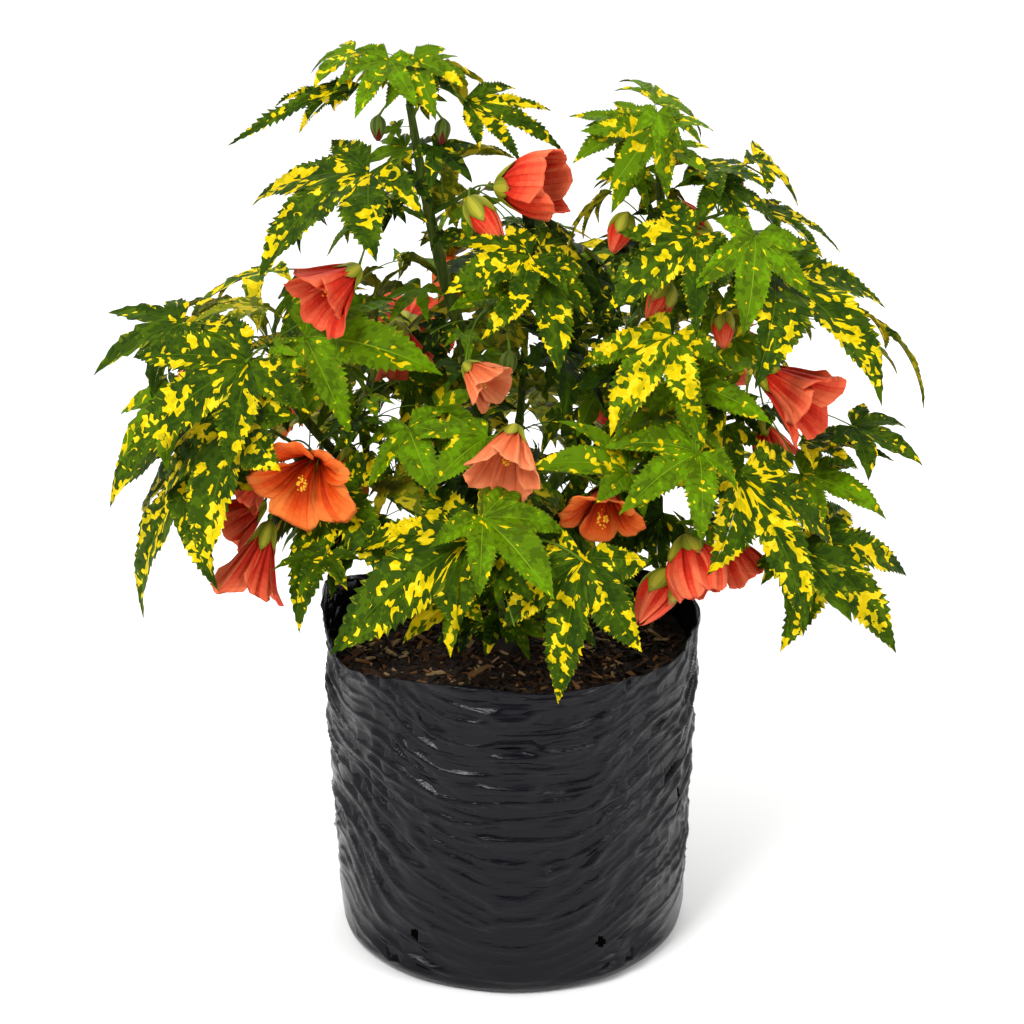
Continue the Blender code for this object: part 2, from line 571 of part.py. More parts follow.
class Crown:
    """What stands so far, and what grows in each mass."""

    def __init__(self, fixed):
        self.fixed = [tree_of(shape) for shape in fixed]
        self.parts = {name: [] for name in MASSES}
        self.trees = {name: [] for name in MASSES}
        self.twigs = {}

    def is_free(self, name, shape, own_kinds):
        """Whether a shape crosses no limb, bag or other mass, nor these kinds of its own."""
        tree = tree_of(shape)
        near = list(self.fixed)
        for mass, trees in self.trees.items():
            near += [other for other, kind in trees if mass != name or kind in own_kinds]
        return not any(tree.overlap(other) for other in near)

    def add_twig(self, name):
        """The twig of a mass, from its limb's tip or out of its limb's side."""
        plan = MASSES[name]
        places = [point(p) for p in plan["twig"]]
        carrier = limb_path(plan["limb"])
        if not leaves_side(plan):
            ahead = (carrier[-1] - carrier[-2]).normalized()
            places = [carrier[-1] + ahead * run for run in TWIG_LEAD] + places
        path = smooth_path(places, 2)
        radii = [TWIG_RADII[0] + (TWIG_RADII[1] - TWIG_RADII[0]) * i / (len(path) - 1)
                 for i in range(len(path))]
        self.twigs[name] = path
        shape = tube(path, radii, TWIG_SIDES)
        self.parts[name].append(shape)
        self.trees[name].append((tree_of(shape), "twig"))

    def root_for(self, name, place):
        """The twig's nearest point to a place, past the twig's bare foot."""
        path = self.twigs[name]
        bare = [p for p in path if (p - path[0]).length > ROOT_CLEARANCE]
        return min(bare, key=lambda p: (p - place).length)

    def add(self, name, head, stalk):
        """A blade or bloom with its stalk, kept if neither crosses what stands already."""
        if not self.is_free(name, head, ("head", "stalk", "twig")):
            return False
        if not self.is_free(name, stalk, ("head",)):
            return False
        self.parts[name].append(joined(head, stalk))
        self.trees[name] += [(tree_of(head), "head"), (tree_of(stalk), "stalk")]
        return True

    def add_leaf(self, name, base, tip, roll, full):
        """A leaf on the nearest point of the twig, if it finds room."""
        root = self.root_for(name, base)
        blade = blade_shape(base, tip, roll, full)
        return self.add(name, blade, leaf_stalk(root, blade, base, tip))

    def place_leaf(self, name, base, tip, roll):
        """A leaf at a set place, eased a little where it would cross a neighbour."""
        for out, rise, turn in EASE:
            lift = eased(base, out, rise)
            if self.add_leaf(name, base + lift, tip + lift, roll + turn, True):
                return

    def place_bloom(self, name, kind, foot, mouth):
        """A bloom with its stalk, eased as a leaf is."""
        root = self.root_for(name, foot)
        for out, rise, _ in EASE:
            lift = eased(foot, out, rise)
            bloom = bloom_shape(kind, foot + lift, mouth + lift)
            ring = bloom[0][:PETALS]
            axis = (mouth - foot).normalized()
            pedicel = stalk_shape(root, foot + lift - axis * NECK, PEDICEL_RADIUS, ring,
                                  ring[0] - sum(ring, Vector()) / PETALS)
            if self.add(name, bloom, pedicel):
                return

    def fill(self, name, seed):
        """Leaves by rule: one after another up the twig, a golden angle apart, each with its
        seeded lean and length. One that would leave the mass's space or cross anything is
        tried again, and skipped in the end."""
        plan = MASSES[name]
        count, size = plan["fill"]
        centre, reach = point(plan["space"][0]), plan["space"][1] * MM
        chance = random.Random(seed)
        path = self.twigs[name]
        start = chance.uniform(0, 2 * math.pi)
        for k in range(count):
            share = (k + 0.5) / count
            root = path[int(share * (len(path) - 1) + 0.5)]
            for _ in range(TRIES):
                heading = start + k * GOLDEN_ANGLE + chance.gauss(0, HEADING_SPREAD)
                way = Vector((math.cos(heading), math.sin(heading), chance.uniform(*STALK_RISE)))
                base = root + way.normalized() * size * MM * chance.uniform(*STALK_SHARE)
                lean = heading + chance.gauss(0, LEAN_SPREAD)
                droop = Vector((math.cos(lean), math.sin(lean), -chance.uniform(*TIP_DROOP)))
                length = size * MM * chance.uniform(*BLADE_SHARE) * (1.1 - TOP_SHRINK * share)
                tip = base + droop.normalized() * length
                roll = chance.gauss(0, ROLL_SPREAD)
                inside = all((place - centre).length < reach for place in (base, tip))
                if inside and self.add_leaf(name, base, tip, roll, False):
                    break


def leaves_side(plan):
    """Whether a mass's twig leaves its limb's side, and not its tip."""
    start = point(plan["twig"][0])
    path = limb_path(plan["limb"])
    return min(path, key=lambda p: (p - start).length) != path[-1]


def bodies_of(shape):
    """The faces of each connected body of a bmesh, smallest body first."""
    bodies = []
    left = set(shape.faces)
    while left:
        stack = [left.pop()]
        body = list(stack)
        while stack:
            for edge in stack.pop().edges:
                for face in edge.link_faces:
                    if face in left:
                        left.remove(face)
                        body.append(face)
                        stack.append(face)
        bodies.append(body)
    return sorted(bodies, key=len)


def settle(obj):
    """Apply an object's modifiers, keep its largest body, with any sealed hollow filled, and
    tell whether it is closed."""
    graph = bpy.context.evaluated_depsgraph_get()
    mesh = bpy.data.meshes.new_from_object(obj.evaluated_get(graph))
    obj.modifiers.clear()
    obj.data = mesh
    shape = bmesh.new()
    shape.from_mesh(mesh)
    scraps = [face for body in bodies_of(shape)[:-1] for face in body]
    bmesh.ops.delete(shape, geom=scraps, context="FACES")
    closed = all(edge.is_manifold for edge in shape.edges)
    shape.to_mesh(mesh)
    shape.free()
    return closed


def combine(obj, operation, other):
    """Cut an object by another, or join a collection to it, by the first solver that leaves
    it closed."""
    before = obj.data
    for solver in ("EXACT", "MANIFOLD"):
        obj.data = before
        change = obj.modifiers.new("combine", "BOOLEAN")
        change.operation = operation
        change.solver = solver
        if isinstance(other, bpy.types.Collection):
            change.operand_type = "COLLECTION"
            change.collection = other
        else:
            change.object = other
        if settle(obj):
            return


def cut_clear(obj, limb):
    """Cut an object 0.3 mm clear of a limb."""
    cutter = solid("cutter", limb_shape(limb, GAP))
    combine(obj, "DIFFERENCE", cutter)
    bpy.data.objects.remove(cutter, do_unlink=True)


def build_limbs(finish):
    """The leader and the boughs, each cut clear of the leader that carries it."""
    for name in LIMBS:
        limb = solid(name, limb_shape(name), finish)
        if name != FLARED:
            cut_clear(limb, FLARED)
        rounded(limb)


def build_mass(crown, name, finish):
    """One mass: its twig, stalks, blades and blooms in one Boolean union."""
    twig, *others = crown.parts[name]
    mass = solid(name, twig, finish)
    group = bpy.data.collections.new(name)
    for i, shape in enumerate(others):
        group.objects.link(solid(f"{name}_{i}", shape))
    combine(mass, "UNION", group)
    for piece in list(group.objects):
        bpy.data.objects.remove(piece, do_unlink=True)
    bpy.data.collections.remove(group)
    if leaves_side(MASSES[name]):
        cut_clear(mass, MASSES[name]["limb"])


def main():
    clear_scene()
    film = material("black_film", (0.012, 0.012, 0.014), 0.35)
    mix = material("potting_mix", (0.035, 0.02, 0.012), 0.95)
    bark = material("green_bark", WOOD, 0.6)
    leaf = material("leaf_green", GREEN, 0.45)
    bag = stack_rings(bag_line, 0.0, BAG_WALL)
    soil = stack_rings(soil_line, BAG_WALL + GAP, SOIL_EDGE_HEIGHT + SOIL_CROWN)
    rounded(solid("grow_bag", bag, film))
    solid("potting_mix", soil, mix)
    build_limbs(bark)
    crown = Crown([bag, soil] + [limb_shape(name, GAP) for name in LIMBS])
    for name in MASSES:
        crown.add_twig(name)
    for name, plan in MASSES.items():
        for base, tip, roll in plan["leaves"]:
            crown.place_leaf(name, point(base), point(tip), roll)
        for kind, foot, mouth in plan["blooms"]:
            crown.place_bloom(name, kind, point(foot), point(mouth))
    for seed, name in enumerate(MASSES):
        crown.fill(name, seed)
    for name in MASSES:
        build_mass(crown, name, leaf)


main()
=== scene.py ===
"""A flowering maple with mottled leaves in a black film grow bag, dressed over its solids.

Everything is in metres in the solids' own frame: +Z up, the origin at the middle of the
bag's underside. The script follows the plant as it is potted: the studio it stands in, the
bag, the potting mix, the stems, then what grows from them by the same rule as the solids.
"""

import math
import random

import bpy
import numpy as np
from mathutils import Matrix, Vector
from mathutils.bvhtree import BVHTree


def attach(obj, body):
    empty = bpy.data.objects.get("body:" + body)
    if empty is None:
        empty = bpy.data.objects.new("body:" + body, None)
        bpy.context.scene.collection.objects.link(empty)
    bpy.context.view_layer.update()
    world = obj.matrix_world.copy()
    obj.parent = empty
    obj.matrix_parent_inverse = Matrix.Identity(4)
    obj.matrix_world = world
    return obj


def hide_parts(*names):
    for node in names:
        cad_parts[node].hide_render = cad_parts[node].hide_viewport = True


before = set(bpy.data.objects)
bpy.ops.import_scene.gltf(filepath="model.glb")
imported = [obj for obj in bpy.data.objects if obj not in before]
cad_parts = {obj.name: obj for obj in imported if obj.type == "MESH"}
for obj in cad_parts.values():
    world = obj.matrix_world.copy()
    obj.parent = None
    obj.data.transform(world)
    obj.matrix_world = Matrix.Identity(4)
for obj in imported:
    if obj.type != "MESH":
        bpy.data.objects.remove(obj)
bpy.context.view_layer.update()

# ---- Studio -------------------------------------------------------------------------------
# A seamless white floor under three soft lights, a white surround to the sides and the back and
# a dark room in front, seen from the front at twenty degrees down with a short telephoto lens.

STUDIO_DISTANCE = 1.3
STUDIO_PITCH = math.radians(20.0)
STUDIO_AIM = 0.2362
STUDIO_LENS = 86.8


def tone(code):
    """Linear colour of an sRGB hex code: c / 12.92 when small, else ((c + 0.055) / 1.055)^2.4."""
    c = np.array([int(code[i:i + 2], 16) for i in (0, 2, 4)]) / 255
    linear = np.where(c <= 0.04045, c / 12.92, ((c + 0.055) / 1.055) ** 2.4)
    return (*linear.tolist(), 1.0)


def add_node(tree, kind, settings=None, links=None):
    """Add a node of a kind. Settings are attributes or input values, links are input: (node, output)."""
    node = tree.nodes.new(kind)
    for key, value in (settings or {}).items():
        if isinstance(key, str) and hasattr(node, key):
            setattr(node, key, value)
        else:
            node.inputs[key].default_value = value
    for key, (source, output) in (links or {}).items():
        tree.links.new(source.outputs[output], node.inputs[key])
    return node


def new_finish(name, settings):
    """A material of one Principled shader with these values on its own sockets."""
    made = bpy.data.materials.new(name)
    made.use_nodes = True
    shader = made.node_tree.nodes["Principled BSDF"]
    for key, value in settings.items():
        shader.inputs[key].default_value = value
    return made, made.node_tree, shader


def new_piece(name, points, faces, finishes, dealt=None, sharp=None, smooth=True):
    """An object from arrays: points (n, 3) in metres, faces (m, 3 or 4), the finish dealt to
    each face, and which points' shared edges are sharp."""
    mesh = bpy.data.meshes.new(name)
    mesh.vertices.add(len(points))
    mesh.vertices.foreach_set("co", np.ascontiguousarray(points, dtype=np.float32).ravel())
    mesh.loops.add(faces.size)
    mesh.loops.foreach_set("vertex_index", np.ascontiguousarray(faces, dtype=np.int32).ravel())
    mesh.polygons.add(len(faces))
    mesh.polygons.foreach_set("loop_start", np.arange(0, faces.size, faces.shape[1], dtype=np.int32))
    mesh.update(calc_edges=True)
    mesh.polygons.foreach_set("use_smooth", np.full(len(faces), smooth))
    for finish in finishes:
        mesh.materials.append(finish)
    if dealt is not None:
        mesh.polygons.foreach_set("material_index", np.ascontiguousarray(dealt, dtype=np.int32))
    if sharp is not None:
        ends = np.empty(len(mesh.edges) * 2, dtype=np.int32)
        mesh.edges.foreach_get("vertices", ends)
        mesh.edges.foreach_set("use_edge_sharp", sharp[ends].reshape(-1, 2).all(axis=1))
    mesh.update()
    made = bpy.data.objects.new(name, mesh)
    bpy.context.scene.collection.objects.link(made)
    return made


camera = bpy.data.objects.new("camera", bpy.data.cameras.new("camera"))
camera.data.lens = STUDIO_LENS
camera.data.sensor_width = 36.0
camera.location = (0, -STUDIO_DISTANCE * math.cos(STUDIO_PITCH),
                   STUDIO_AIM + STUDIO_DISTANCE * math.sin(STUDIO_PITCH))
camera.rotation_euler = (math.pi / 2 - STUDIO_PITCH, 0, 0)
bpy.context.scene.collection.objects.link(camera)
bpy.context.scene.camera = camera

FLOOR_HALF = 40.0
# Floor: an even, matt white that shows only the soft shadow
floor_paint, _, _ = new_finish("matt_white_floor", {
    "Base Color": tone("FAFAFA"), "Roughness": 0.9, "Specular IOR Level": 0.1})
floor = new_piece("floor", np.array([(-1, -1, 0), (1, -1, 0), (1, 1, 0), (-1, 1, 0)]) * FLOOR_HALF,
                  np.array([(0, 1, 2, 3)]), [floor_paint])

for lamp_name, place, aim, width, power in (
        ("key_light", (-0.9, -1.5, 1.9), (0, 0, 0.25), 0.8, 44),
        ("fill_light", (1.6, -1.3, 1.2), (0, 0, 0.25), 0.9, 14),
        ("back_light", (0.2, 1.9, 1.9), (0, 0, 0.3), 1.2, 12)):
    lamp = bpy.data.objects.new(lamp_name, bpy.data.lights.new(lamp_name, "AREA"))
    lamp.data.size = width
    lamp.data.energy = power
    lamp.location = place
    lamp.rotation_euler = (Vector(aim) - Vector(place)).to_track_quat("-Z", "Y").to_euler()
    bpy.context.scene.collection.objects.link(lamp)

sky = bpy.data.worlds.new("white_surround")
sky.use_nodes = True
surround = sky.node_tree.nodes["Background"]
surround.inputs["Color"].default_value = tone("FFFFFF")
way = add_node(sky.node_tree, "ShaderNodeTexCoord")
parts = add_node(sky.node_tree, "ShaderNodeSeparateXYZ", links={"Vector": (way, "Generated")})
front_dark = add_node(sky.node_tree, "ShaderNodeMapRange", {
    "From Min": -0.95, "From Max": -0.30, "To Min": 0.10, "To Max": 1.14}, {"Value": (parts, "Y")})
sky.node_tree.links.new(front_dark.outputs["Result"], surround.inputs["Strength"])
bpy.context.scene.world = sky
bpy.context.scene.view_settings.view_transform = "Standard"

# ---- Grow bag -----------------------------------------------------------------------------
# A blown polythene tube, sealed and tucked flat at the foot and cut off unevenly at the top.
# It is thin black LDPE with a greasy gloss, filled so that it hangs in fine sagging creases.

BAG_RADIUS = 0.0985
BAG_FOOT_RADIUS = 0.0955
BAG_RIM_HEIGHT = 0.176
BAG_FILM = 0.0005
BAG_SOLE_RADIUS = 0.086
BAG_CORNER = 0.0085
BAG_TURNS = 390
WALL_ROWS = 212
INSIDE_STEP = 10
LENS_DEPTH = 0.0023
CREASE_DEPTH = 0.0013
CRINKLE_DEPTH = 0.00022
PLEAT_DEPTH = 0.0007
BULGE_DEPTH = 0.0010
TUCK_DEPTH = 0.0034
# Folds of the foot as (middle, width) in degrees, and the turn that faces the front in radians
TUCKS = ((232, 15), (312, 13))
BAG_FRONT = 4.71
# Flaps of the rim as (middle, width, rise), slow waves as (count, phase, rise)
RIM_FLAPS = ((172.0, 17.0, 0.016), (14.0, 16.0, 0.010), (205.0, 16.0, -0.009))
RIM_WAVES = ((3, 0.8, 0.0016), (7, 2.1, 0.0012))
SOIL_EDGE_HEIGHT = 0.1585
# Punched drain holes as (turn, height, reach), on a ring just inside the film
HOLE_RING = 0.0965
DRAIN_HOLES = ((237.7, 0.030, 0.0030), (299.4, 0.027, 0.0032), (336.2, 0.092, 0.0021),
               (130.0, 0.028, 0.0031), (45.0, 0.029, 0.0030), (60.0, 0.090, 0.0022))


def scatter(a, b, c, seed):
    """Repeatable chance from 0 to 1 for whole numbers: the fraction of a large sine of their sum."""
    return np.abs(np.sin(a * 127.1 + b * 311.7 + c * 74.7 + seed * 19.19) * 43758.5453) % 1.0


def swell(x, y, z, seed):
    """Smooth value noise, -1 to 1: chance at the corners of unit cells, blended by 3t^2 - 2t^3."""
    cells = [np.floor(v) for v in (x, y, z)]
    parts = [v - c for v, c in zip((x, y, z), cells)]
    ease = [t * t * (3 - 2 * t) for t in parts]
    total = 0
    for dx in (0, 1):
        for dy in (0, 1):
            for dz in (0, 1):
                weight = ((ease[0] if dx else 1 - ease[0]) * (ease[1] if dy else 1 - ease[1])
                          * (ease[2] if dz else 1 - ease[2]))
                total = total + weight * scatter(cells[0] + dx, cells[1] + dy, cells[2] + dz, seed)
    return 2 * total - 1


def rim_height(turn):
    """Height of the cut rim: a level, plus flaps of rise * exp(-(angle / width)^2) and slow waves."""
    height = BAG_RIM_HEIGHT + 0 * turn
    for middle, width, rise in RIM_FLAPS:
        away = (np.degrees(turn) - middle + 180) % 360 - 180
        height = height + rise * np.exp(-(away / width) ** 2)
    for count, phase, rise in RIM_WAVES:
        height = height + rise * np.sin(count * turn + phase)
    return height


def film_relief(turn, z):
    """How far the film stands out at a turn and height. It hangs in sags that climb to the sides as
    cos(turn)^2, dented between them in long lenses, with sharp creases and fine crinkles over all,
    and is folded over itself at the two front tucks of the foot."""
    x, y = 0.1 * np.cos(turn), 0.1 * np.sin(turn)
    side = np.cos(turn) ** 2
    climb = 0.046 + 0.018 * swell(x / 0.05, y / 0.05, z / 0.07, 6)
    sag = z - climb * side + 0.006 * swell(x / 0.045, y / 0.045, z / 0.05, 5)
    lenses = swell(x / 0.024, y / 0.024, sag / 0.0038, 1)
    creases = 1 - np.abs(swell(x / 0.030, y / 0.030, sag / 0.0062, 2)) * 3.6
    small = swell(x / 0.012, y / 0.012, sag / 0.0022, 3)
    pleats = 1 - np.abs(swell(x / 0.011, y / 0.011, (z + 0.5 * x * np.sign(x)) / 0.03, 7)) * 3
    bulge = swell(x / 0.06, y / 0.06, z / 0.035, 4)
    calm = np.clip((z - 0.010) / 0.045, 0.20, 1) * (0.9 + 0.2 * side)
    patchy = 0.6 + 0.5 * swell(x / 0.05, y / 0.05, z / 0.03, 11)
    tucked = sum(np.exp(-((np.degrees(turn) - middle) / width) ** 2) for middle, width in TUCKS)
    folds = 0.6 - 1.5 * np.abs(np.sin(z / 0.0034 - 8 * np.abs(turn - BAG_FRONT)))
    low = tucked * np.clip(1.6 - z / 0.022, 0, 1) * folds
    return (calm * (LENS_DEPTH * patchy * np.clip(1.5 * lenses, -1, 0.55)
                    + CREASE_DEPTH * np.clip(creases, -0.1, 1) + CRINKLE_DEPTH * small
                    + PLEAT_DEPTH * side * np.clip(pleats, 0, 1))
            + BULGE_DEPTH * bulge + TUCK_DEPTH * low)


def film_wall():
    """The bag as one closed sheet: a profile of (radius, height) from the middle of the sole up the
    outside, over the rim and down inside to the middle again, turned about the axis."""
    turn = np.linspace(0, 2 * np.pi, BAG_TURNS, endpoint=False)[:, None]
    rim = rim_height(turn)
    sole = np.array([0.0, 0.03, 0.06, 0.08, BAG_SOLE_RADIUS])
    corner = np.linspace(0, np.pi / 2, 8)[1:]
    rise = np.linspace(0, 1, WALL_ROWS)[1:]
    ones = np.ones_like(turn)
    tuck = 0.0018 * np.sin(turn * 5 + 1) + 0.0012 * np.sin(turn * 11)
    foot_radius = ones * (BAG_SOLE_RADIUS + BAG_CORNER * np.sin(corner)) + tuck * (1 - np.cos(corner)) * 0.6
    foot_height = ones * BAG_CORNER * (1 - np.cos(corner))
    wall_height = BAG_CORNER + (rim - BAG_CORNER) * rise
    share = (wall_height - BAG_CORNER) / (BAG_RIM_HEIGHT - BAG_CORNER)
    wall_radius = BAG_FOOT_RADIUS - 0.001 + (BAG_RADIUS - BAG_FOOT_RADIUS) * share + 0.001 * np.sqrt(rise)
    wall_radius = wall_radius + film_relief(turn, wall_height) + 0.6 * tuck * (1 - rise) ** 8
    lean = 0.0022 * swell(3 * np.cos(turn), 3 * np.sin(turn), 0 * turn, 8)
    wall_radius = wall_radius + lean * np.clip((share - 0.86) / 0.14, 0, 1.4) ** 2
    inner = slice(None, None, -INSIDE_STEP)
    radius = np.hstack([ones * sole, foot_radius, wall_radius, wall_radius[:, inner] - BAG_FILM,
                        foot_radius[:, ::-3] - BAG_FILM, ones * sole[::-1][:-1]])
    height = np.hstack([0 * ones * sole, foot_height, wall_height, wall_height[:, inner] - 0.0002,
                        foot_height[:, ::-3] + BAG_FILM, 0 * ones * sole[:-1] + BAG_FILM])
    points = np.stack([radius * np.cos(turn), radius * np.sin(turn), height], axis=2)
    around, along = np.arange(BAG_TURNS)[:, None], np.arange(radius.shape[1] - 1)[None, :]
    count = radius.shape[1]
    a, b = around * count + along, (around + 1) % BAG_TURNS * count + along
    faces = np.stack([a, b, b + 1, a + 1], axis=2).reshape(-1, 4)
    return points.reshape(-1, 3), faces


film, tree, shader = new_finish("black_ldpe_film", {
    "Base Color": tone("09080E"), "Roughness": 0.18, "IOR": 1.51, "Specular IOR Level": 0.17})
# Film creases: fine crumple every 2 to 3 mm under a greasy gloss that dust breaks up
place = add_node(tree, "ShaderNodeTexCoord")
stretch = add_node(tree, "ShaderNodeMapping", {"Scale": (1.0, 1.0, 4.5)}, {"Vector": (place, "Object")})
crumple = add_node(tree, "ShaderNodeTexNoise", {"Scale": 120.0, "Detail": 5.0, "Roughness": 0.6,
                                                "Distortion": 0.6}, {"Vector": (stretch, "Vector")})
dust = add_node(tree, "ShaderNodeTexNoise", {"Scale": 34.0, "Detail": 4.0}, {"Vector": (place, "Object")})
wear = add_node(tree, "ShaderNodeMapRange", {"To Min": 0.10, "To Max": 0.25}, {"Value": (dust, "Fac")})
relief = add_node(tree, "ShaderNodeBump", {"Strength": 0.45, "Distance": 0.0010},
                  {"Height": (crumple, "Fac")})
tree.links.new(wear.outputs["Result"], shader.inputs["Roughness"])
tree.links.new(relief.outputs["Normal"], shader.inputs["Normal"])
# Punched holes: dead black, as no light comes back out of them
torn_hole, _, _ = new_finish("punched_hole_shadow", {"Base Color": tone("050403"), "Roughness": 1.0,
                                                     "Specular IOR Level": 0.0})
bag_points, bag_faces = film_wall()
middles = bag_points[bag_faces].mean(axis=1)
punched = np.zeros(len(bag_faces), dtype=int)
for turn, height, reach in DRAIN_HOLES:
    hole = np.array([np.cos(np.radians(turn)) * HOLE_RING, np.sin(np.radians(turn)) * HOLE_RING, height])
    ragged = reach * (1 + 0.4 * swell(middles[:, 0] / 0.002, middles[:, 1] / 0.002, middles[:, 2] / 0.002, 9))
    punched[np.linalg.norm(middles - hole, axis=1) < ragged] = 1
bag = new_piece("grow_bag_film", bag_points, bag_faces, [film, torn_hole], punched)
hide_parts("grow_bag")
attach(bag, "root")

# ---- Potting mix --------------------------------------------------------------------------
# A damp peat and composted bark mix, heaped a little to the stem, with loose slivers of pine
# bark, a few pale chips and some grit lying on it.

SOIL_CROWN = 0.0034
MIX_SIDES = 200
MIX_RINGS = 70
MIX_GAP = 0.0022
MIX_WALL_FOOT = 0.14
MIX_FOOT_RADIUS = 0.084
MIX_FOOT_HEIGHT = 0.003
CHIP_COUNT = 3600
# Each kind of chip: its name, its colour and its share of all the chips
CHIP_BROWNS = (("bark_dark", "190E07", 0.40), ("bark_brown", "2E1B0D", 0.27),
               ("bark_red_brown", "452812", 0.17), ("bark_tan", "80592F", 0.11),
               ("grit_pale", "A98C60", 0.05))


def mix_height(x, y):
    """Height of the mix: an edge level, a gentle heap to the middle, and crumbs of noise."""
    away = np.hypot(x, y) / BAG_RADIUS
    crumbs = 0.0016 * swell(x / 0.010, y / 0.010, 0 * x, 11) + 0.0009 * swell(x / 0.004, y / 0.004, 0 * x, 12)
    return SOIL_EDGE_HEIGHT + SOIL_CROWN * (1 - np.clip(away, 0, 1)) + crumbs * np.clip(away * 4 - 0.4, 0, 1)


def mix_plug():
    """A round plug: rings of (radius) out to the bag's inside, then down its wall to a closed foot."""
    turn = np.linspace(0, 2 * np.pi, MIX_SIDES, endpoint=False)[:, None]
    rings = np.linspace(0, 1, MIX_RINGS)[None, :]
    edge = BAG_RADIUS - MIX_GAP + film_relief(turn, 0 * turn + SOIL_EDGE_HEIGHT)
    x, y = edge * rings * np.cos(turn), edge * rings * np.sin(turn)
    top = np.stack([x, y, mix_height(x, y)], axis=2)
    low = np.stack([np.hstack([edge * np.cos(turn), MIX_FOOT_RADIUS * np.cos(turn), 0 * turn]),
                    np.hstack([edge * np.sin(turn), MIX_FOOT_RADIUS * np.sin(turn), 0 * turn]),
                    np.hstack([0 * turn + MIX_WALL_FOOT, 0 * turn + MIX_FOOT_HEIGHT,
                               0 * turn + MIX_FOOT_HEIGHT])], axis=2)
    low[:, 0, :2] *= 0.985
    points = np.concatenate([top, low], axis=1)
    count = points.shape[1]
    around, along = np.arange(MIX_SIDES)[:, None], np.arange(count - 1)[None, :]
    a, b = around * count + along, (around + 1) % MIX_SIDES * count + along
    return points.reshape(-1, 3), np.stack([a, a + 1, b + 1, b], axis=2).reshape(-1, 4)


def bark_chips(count, seed):
    """Slivers of bark: boxes narrowed to one end, each lying at its own turn and tilt on the mix."""
    chance = np.random.default_rng(seed)
    away = BAG_RADIUS * 0.925 * np.sqrt(chance.uniform(0.012, 1, count))
    turn = chance.uniform(0, 2 * np.pi, count)
    x, y = away * np.cos(turn), away * np.sin(turn)
    long = chance.gamma(3.0, 0.0015, count).clip(0.0014, 0.013)
    wide = long * chance.uniform(0.16, 0.5, count)
    thick = chance.uniform(0.0004, 0.0013, count)
    narrow = chance.uniform(0.3, 0.9, count)
    ends = np.array([(-.5, -.5, -.5), (.5, -.5, -.5), (.5, .5, -.5), (-.5, .5, -.5),
                     (-.5, -.5, .5), (.5, -.5, .5), (.5, .5, .5), (-.5, .5, .5)])
    box = ends[None] * np.stack([long, wide, thick], axis=1)[:, None]
    box[:, :, 1] *= np.where(ends[None, :, 0] > 0, narrow[:, None], 1)
    box *= chance.uniform(0.75, 1.2, box.shape)
    yaw, pitch = chance.uniform(0, 2 * np.pi, count), chance.normal(0, 0.32, count)
    turned = np.stack([box[..., 0] * np.cos(pitch)[:, None] - box[..., 2] * np.sin(pitch)[:, None],
                       box[..., 1],
                       box[..., 0] * np.sin(pitch)[:, None] + box[..., 2] * np.cos(pitch)[:, None]], axis=2)
    rest = mix_height(x, y) + 0.0004 + 0.25 * long * np.abs(np.sin(pitch))
    c, s = np.cos(yaw)[:, None], np.sin(yaw)[:, None]
    points = np.stack([turned[..., 0] * c - turned[..., 1] * s + x[:, None],
                       turned[..., 0] * s + turned[..., 1] * c + y[:, None],
                       turned[..., 2] + rest[:, None]], axis=2)
    sides = np.array([(0, 3, 2, 1), (4, 5, 6, 7), (0, 1, 5, 4), (1, 2, 6, 5), (2, 3, 7, 6), (3, 0, 4, 7)])
    faces = (np.arange(count)[:, None, None] * 8 + sides[None]).reshape(-1, 4)
    kinds = chance.choice(len(CHIP_BROWNS), count, p=[share for _, _, share in CHIP_BROWNS])
    return points.reshape(-1, 3), faces, np.repeat(kinds, 6)


peat, tree, shader = new_finish("damp_peat_mix", {"Base Color": tone("150D08"), "Roughness": 0.9})
# Crumbs of 1 to 3 mm: dark peat with browner bark dust, rough all over
place = add_node(tree, "ShaderNodeTexCoord")
crumb = add_node(tree, "ShaderNodeTexNoise", {"Scale": 420.0, "Detail": 4.0}, {"Vector": (place, "Object")})
browns = add_node(tree, "ShaderNodeValToRGB", links={"Fac": (crumb, "Fac")})
browns.color_ramp.elements[0].position, browns.color_ramp.elements[0].color = 0.38, tone("0B0603")
browns.color_ramp.elements[1].position, browns.color_ramp.elements[1].color = 0.66, tone("2A190C")
relief = add_node(tree, "ShaderNodeBump", {"Strength": 0.8, "Distance": 0.0015}, {"Height": (crumb, "Fac")})
tree.links.new(browns.outputs["Color"], shader.inputs["Base Color"])
tree.links.new(relief.outputs["Normal"], shader.inputs["Normal"])
mix_points, mix_faces = mix_plug()
mix = new_piece("potting_mix_heap", mix_points, mix_faces, [peat])
# Chips: dry, matt bark from near black to pale grit, one brown a sliver
chip_browns = [new_finish(name, {"Base Color": tone(code), "Roughness": 0.8, "Specular IOR Level": 0.3})[0]
               for name, code, _ in CHIP_BROWNS]
chip_points, chip_faces, chip_kinds = bark_chips(CHIP_COUNT, 4)
chips = new_piece("bark_chips", chip_points, chip_faces, chip_browns, chip_kinds, smooth=False)
for made in (mix, chips):
    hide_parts("potting_mix")
    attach(made, "root")

# ---- Stems --------------------------------------------------------------------------------
# The leader and its boughs: soft green-brown wood, ringed where leaves have fallen and finely
# ribbed along its length. Each bough grows out of the leader, which flares on to the mix.

MM = 0.001
GAP = 0.3 * MM
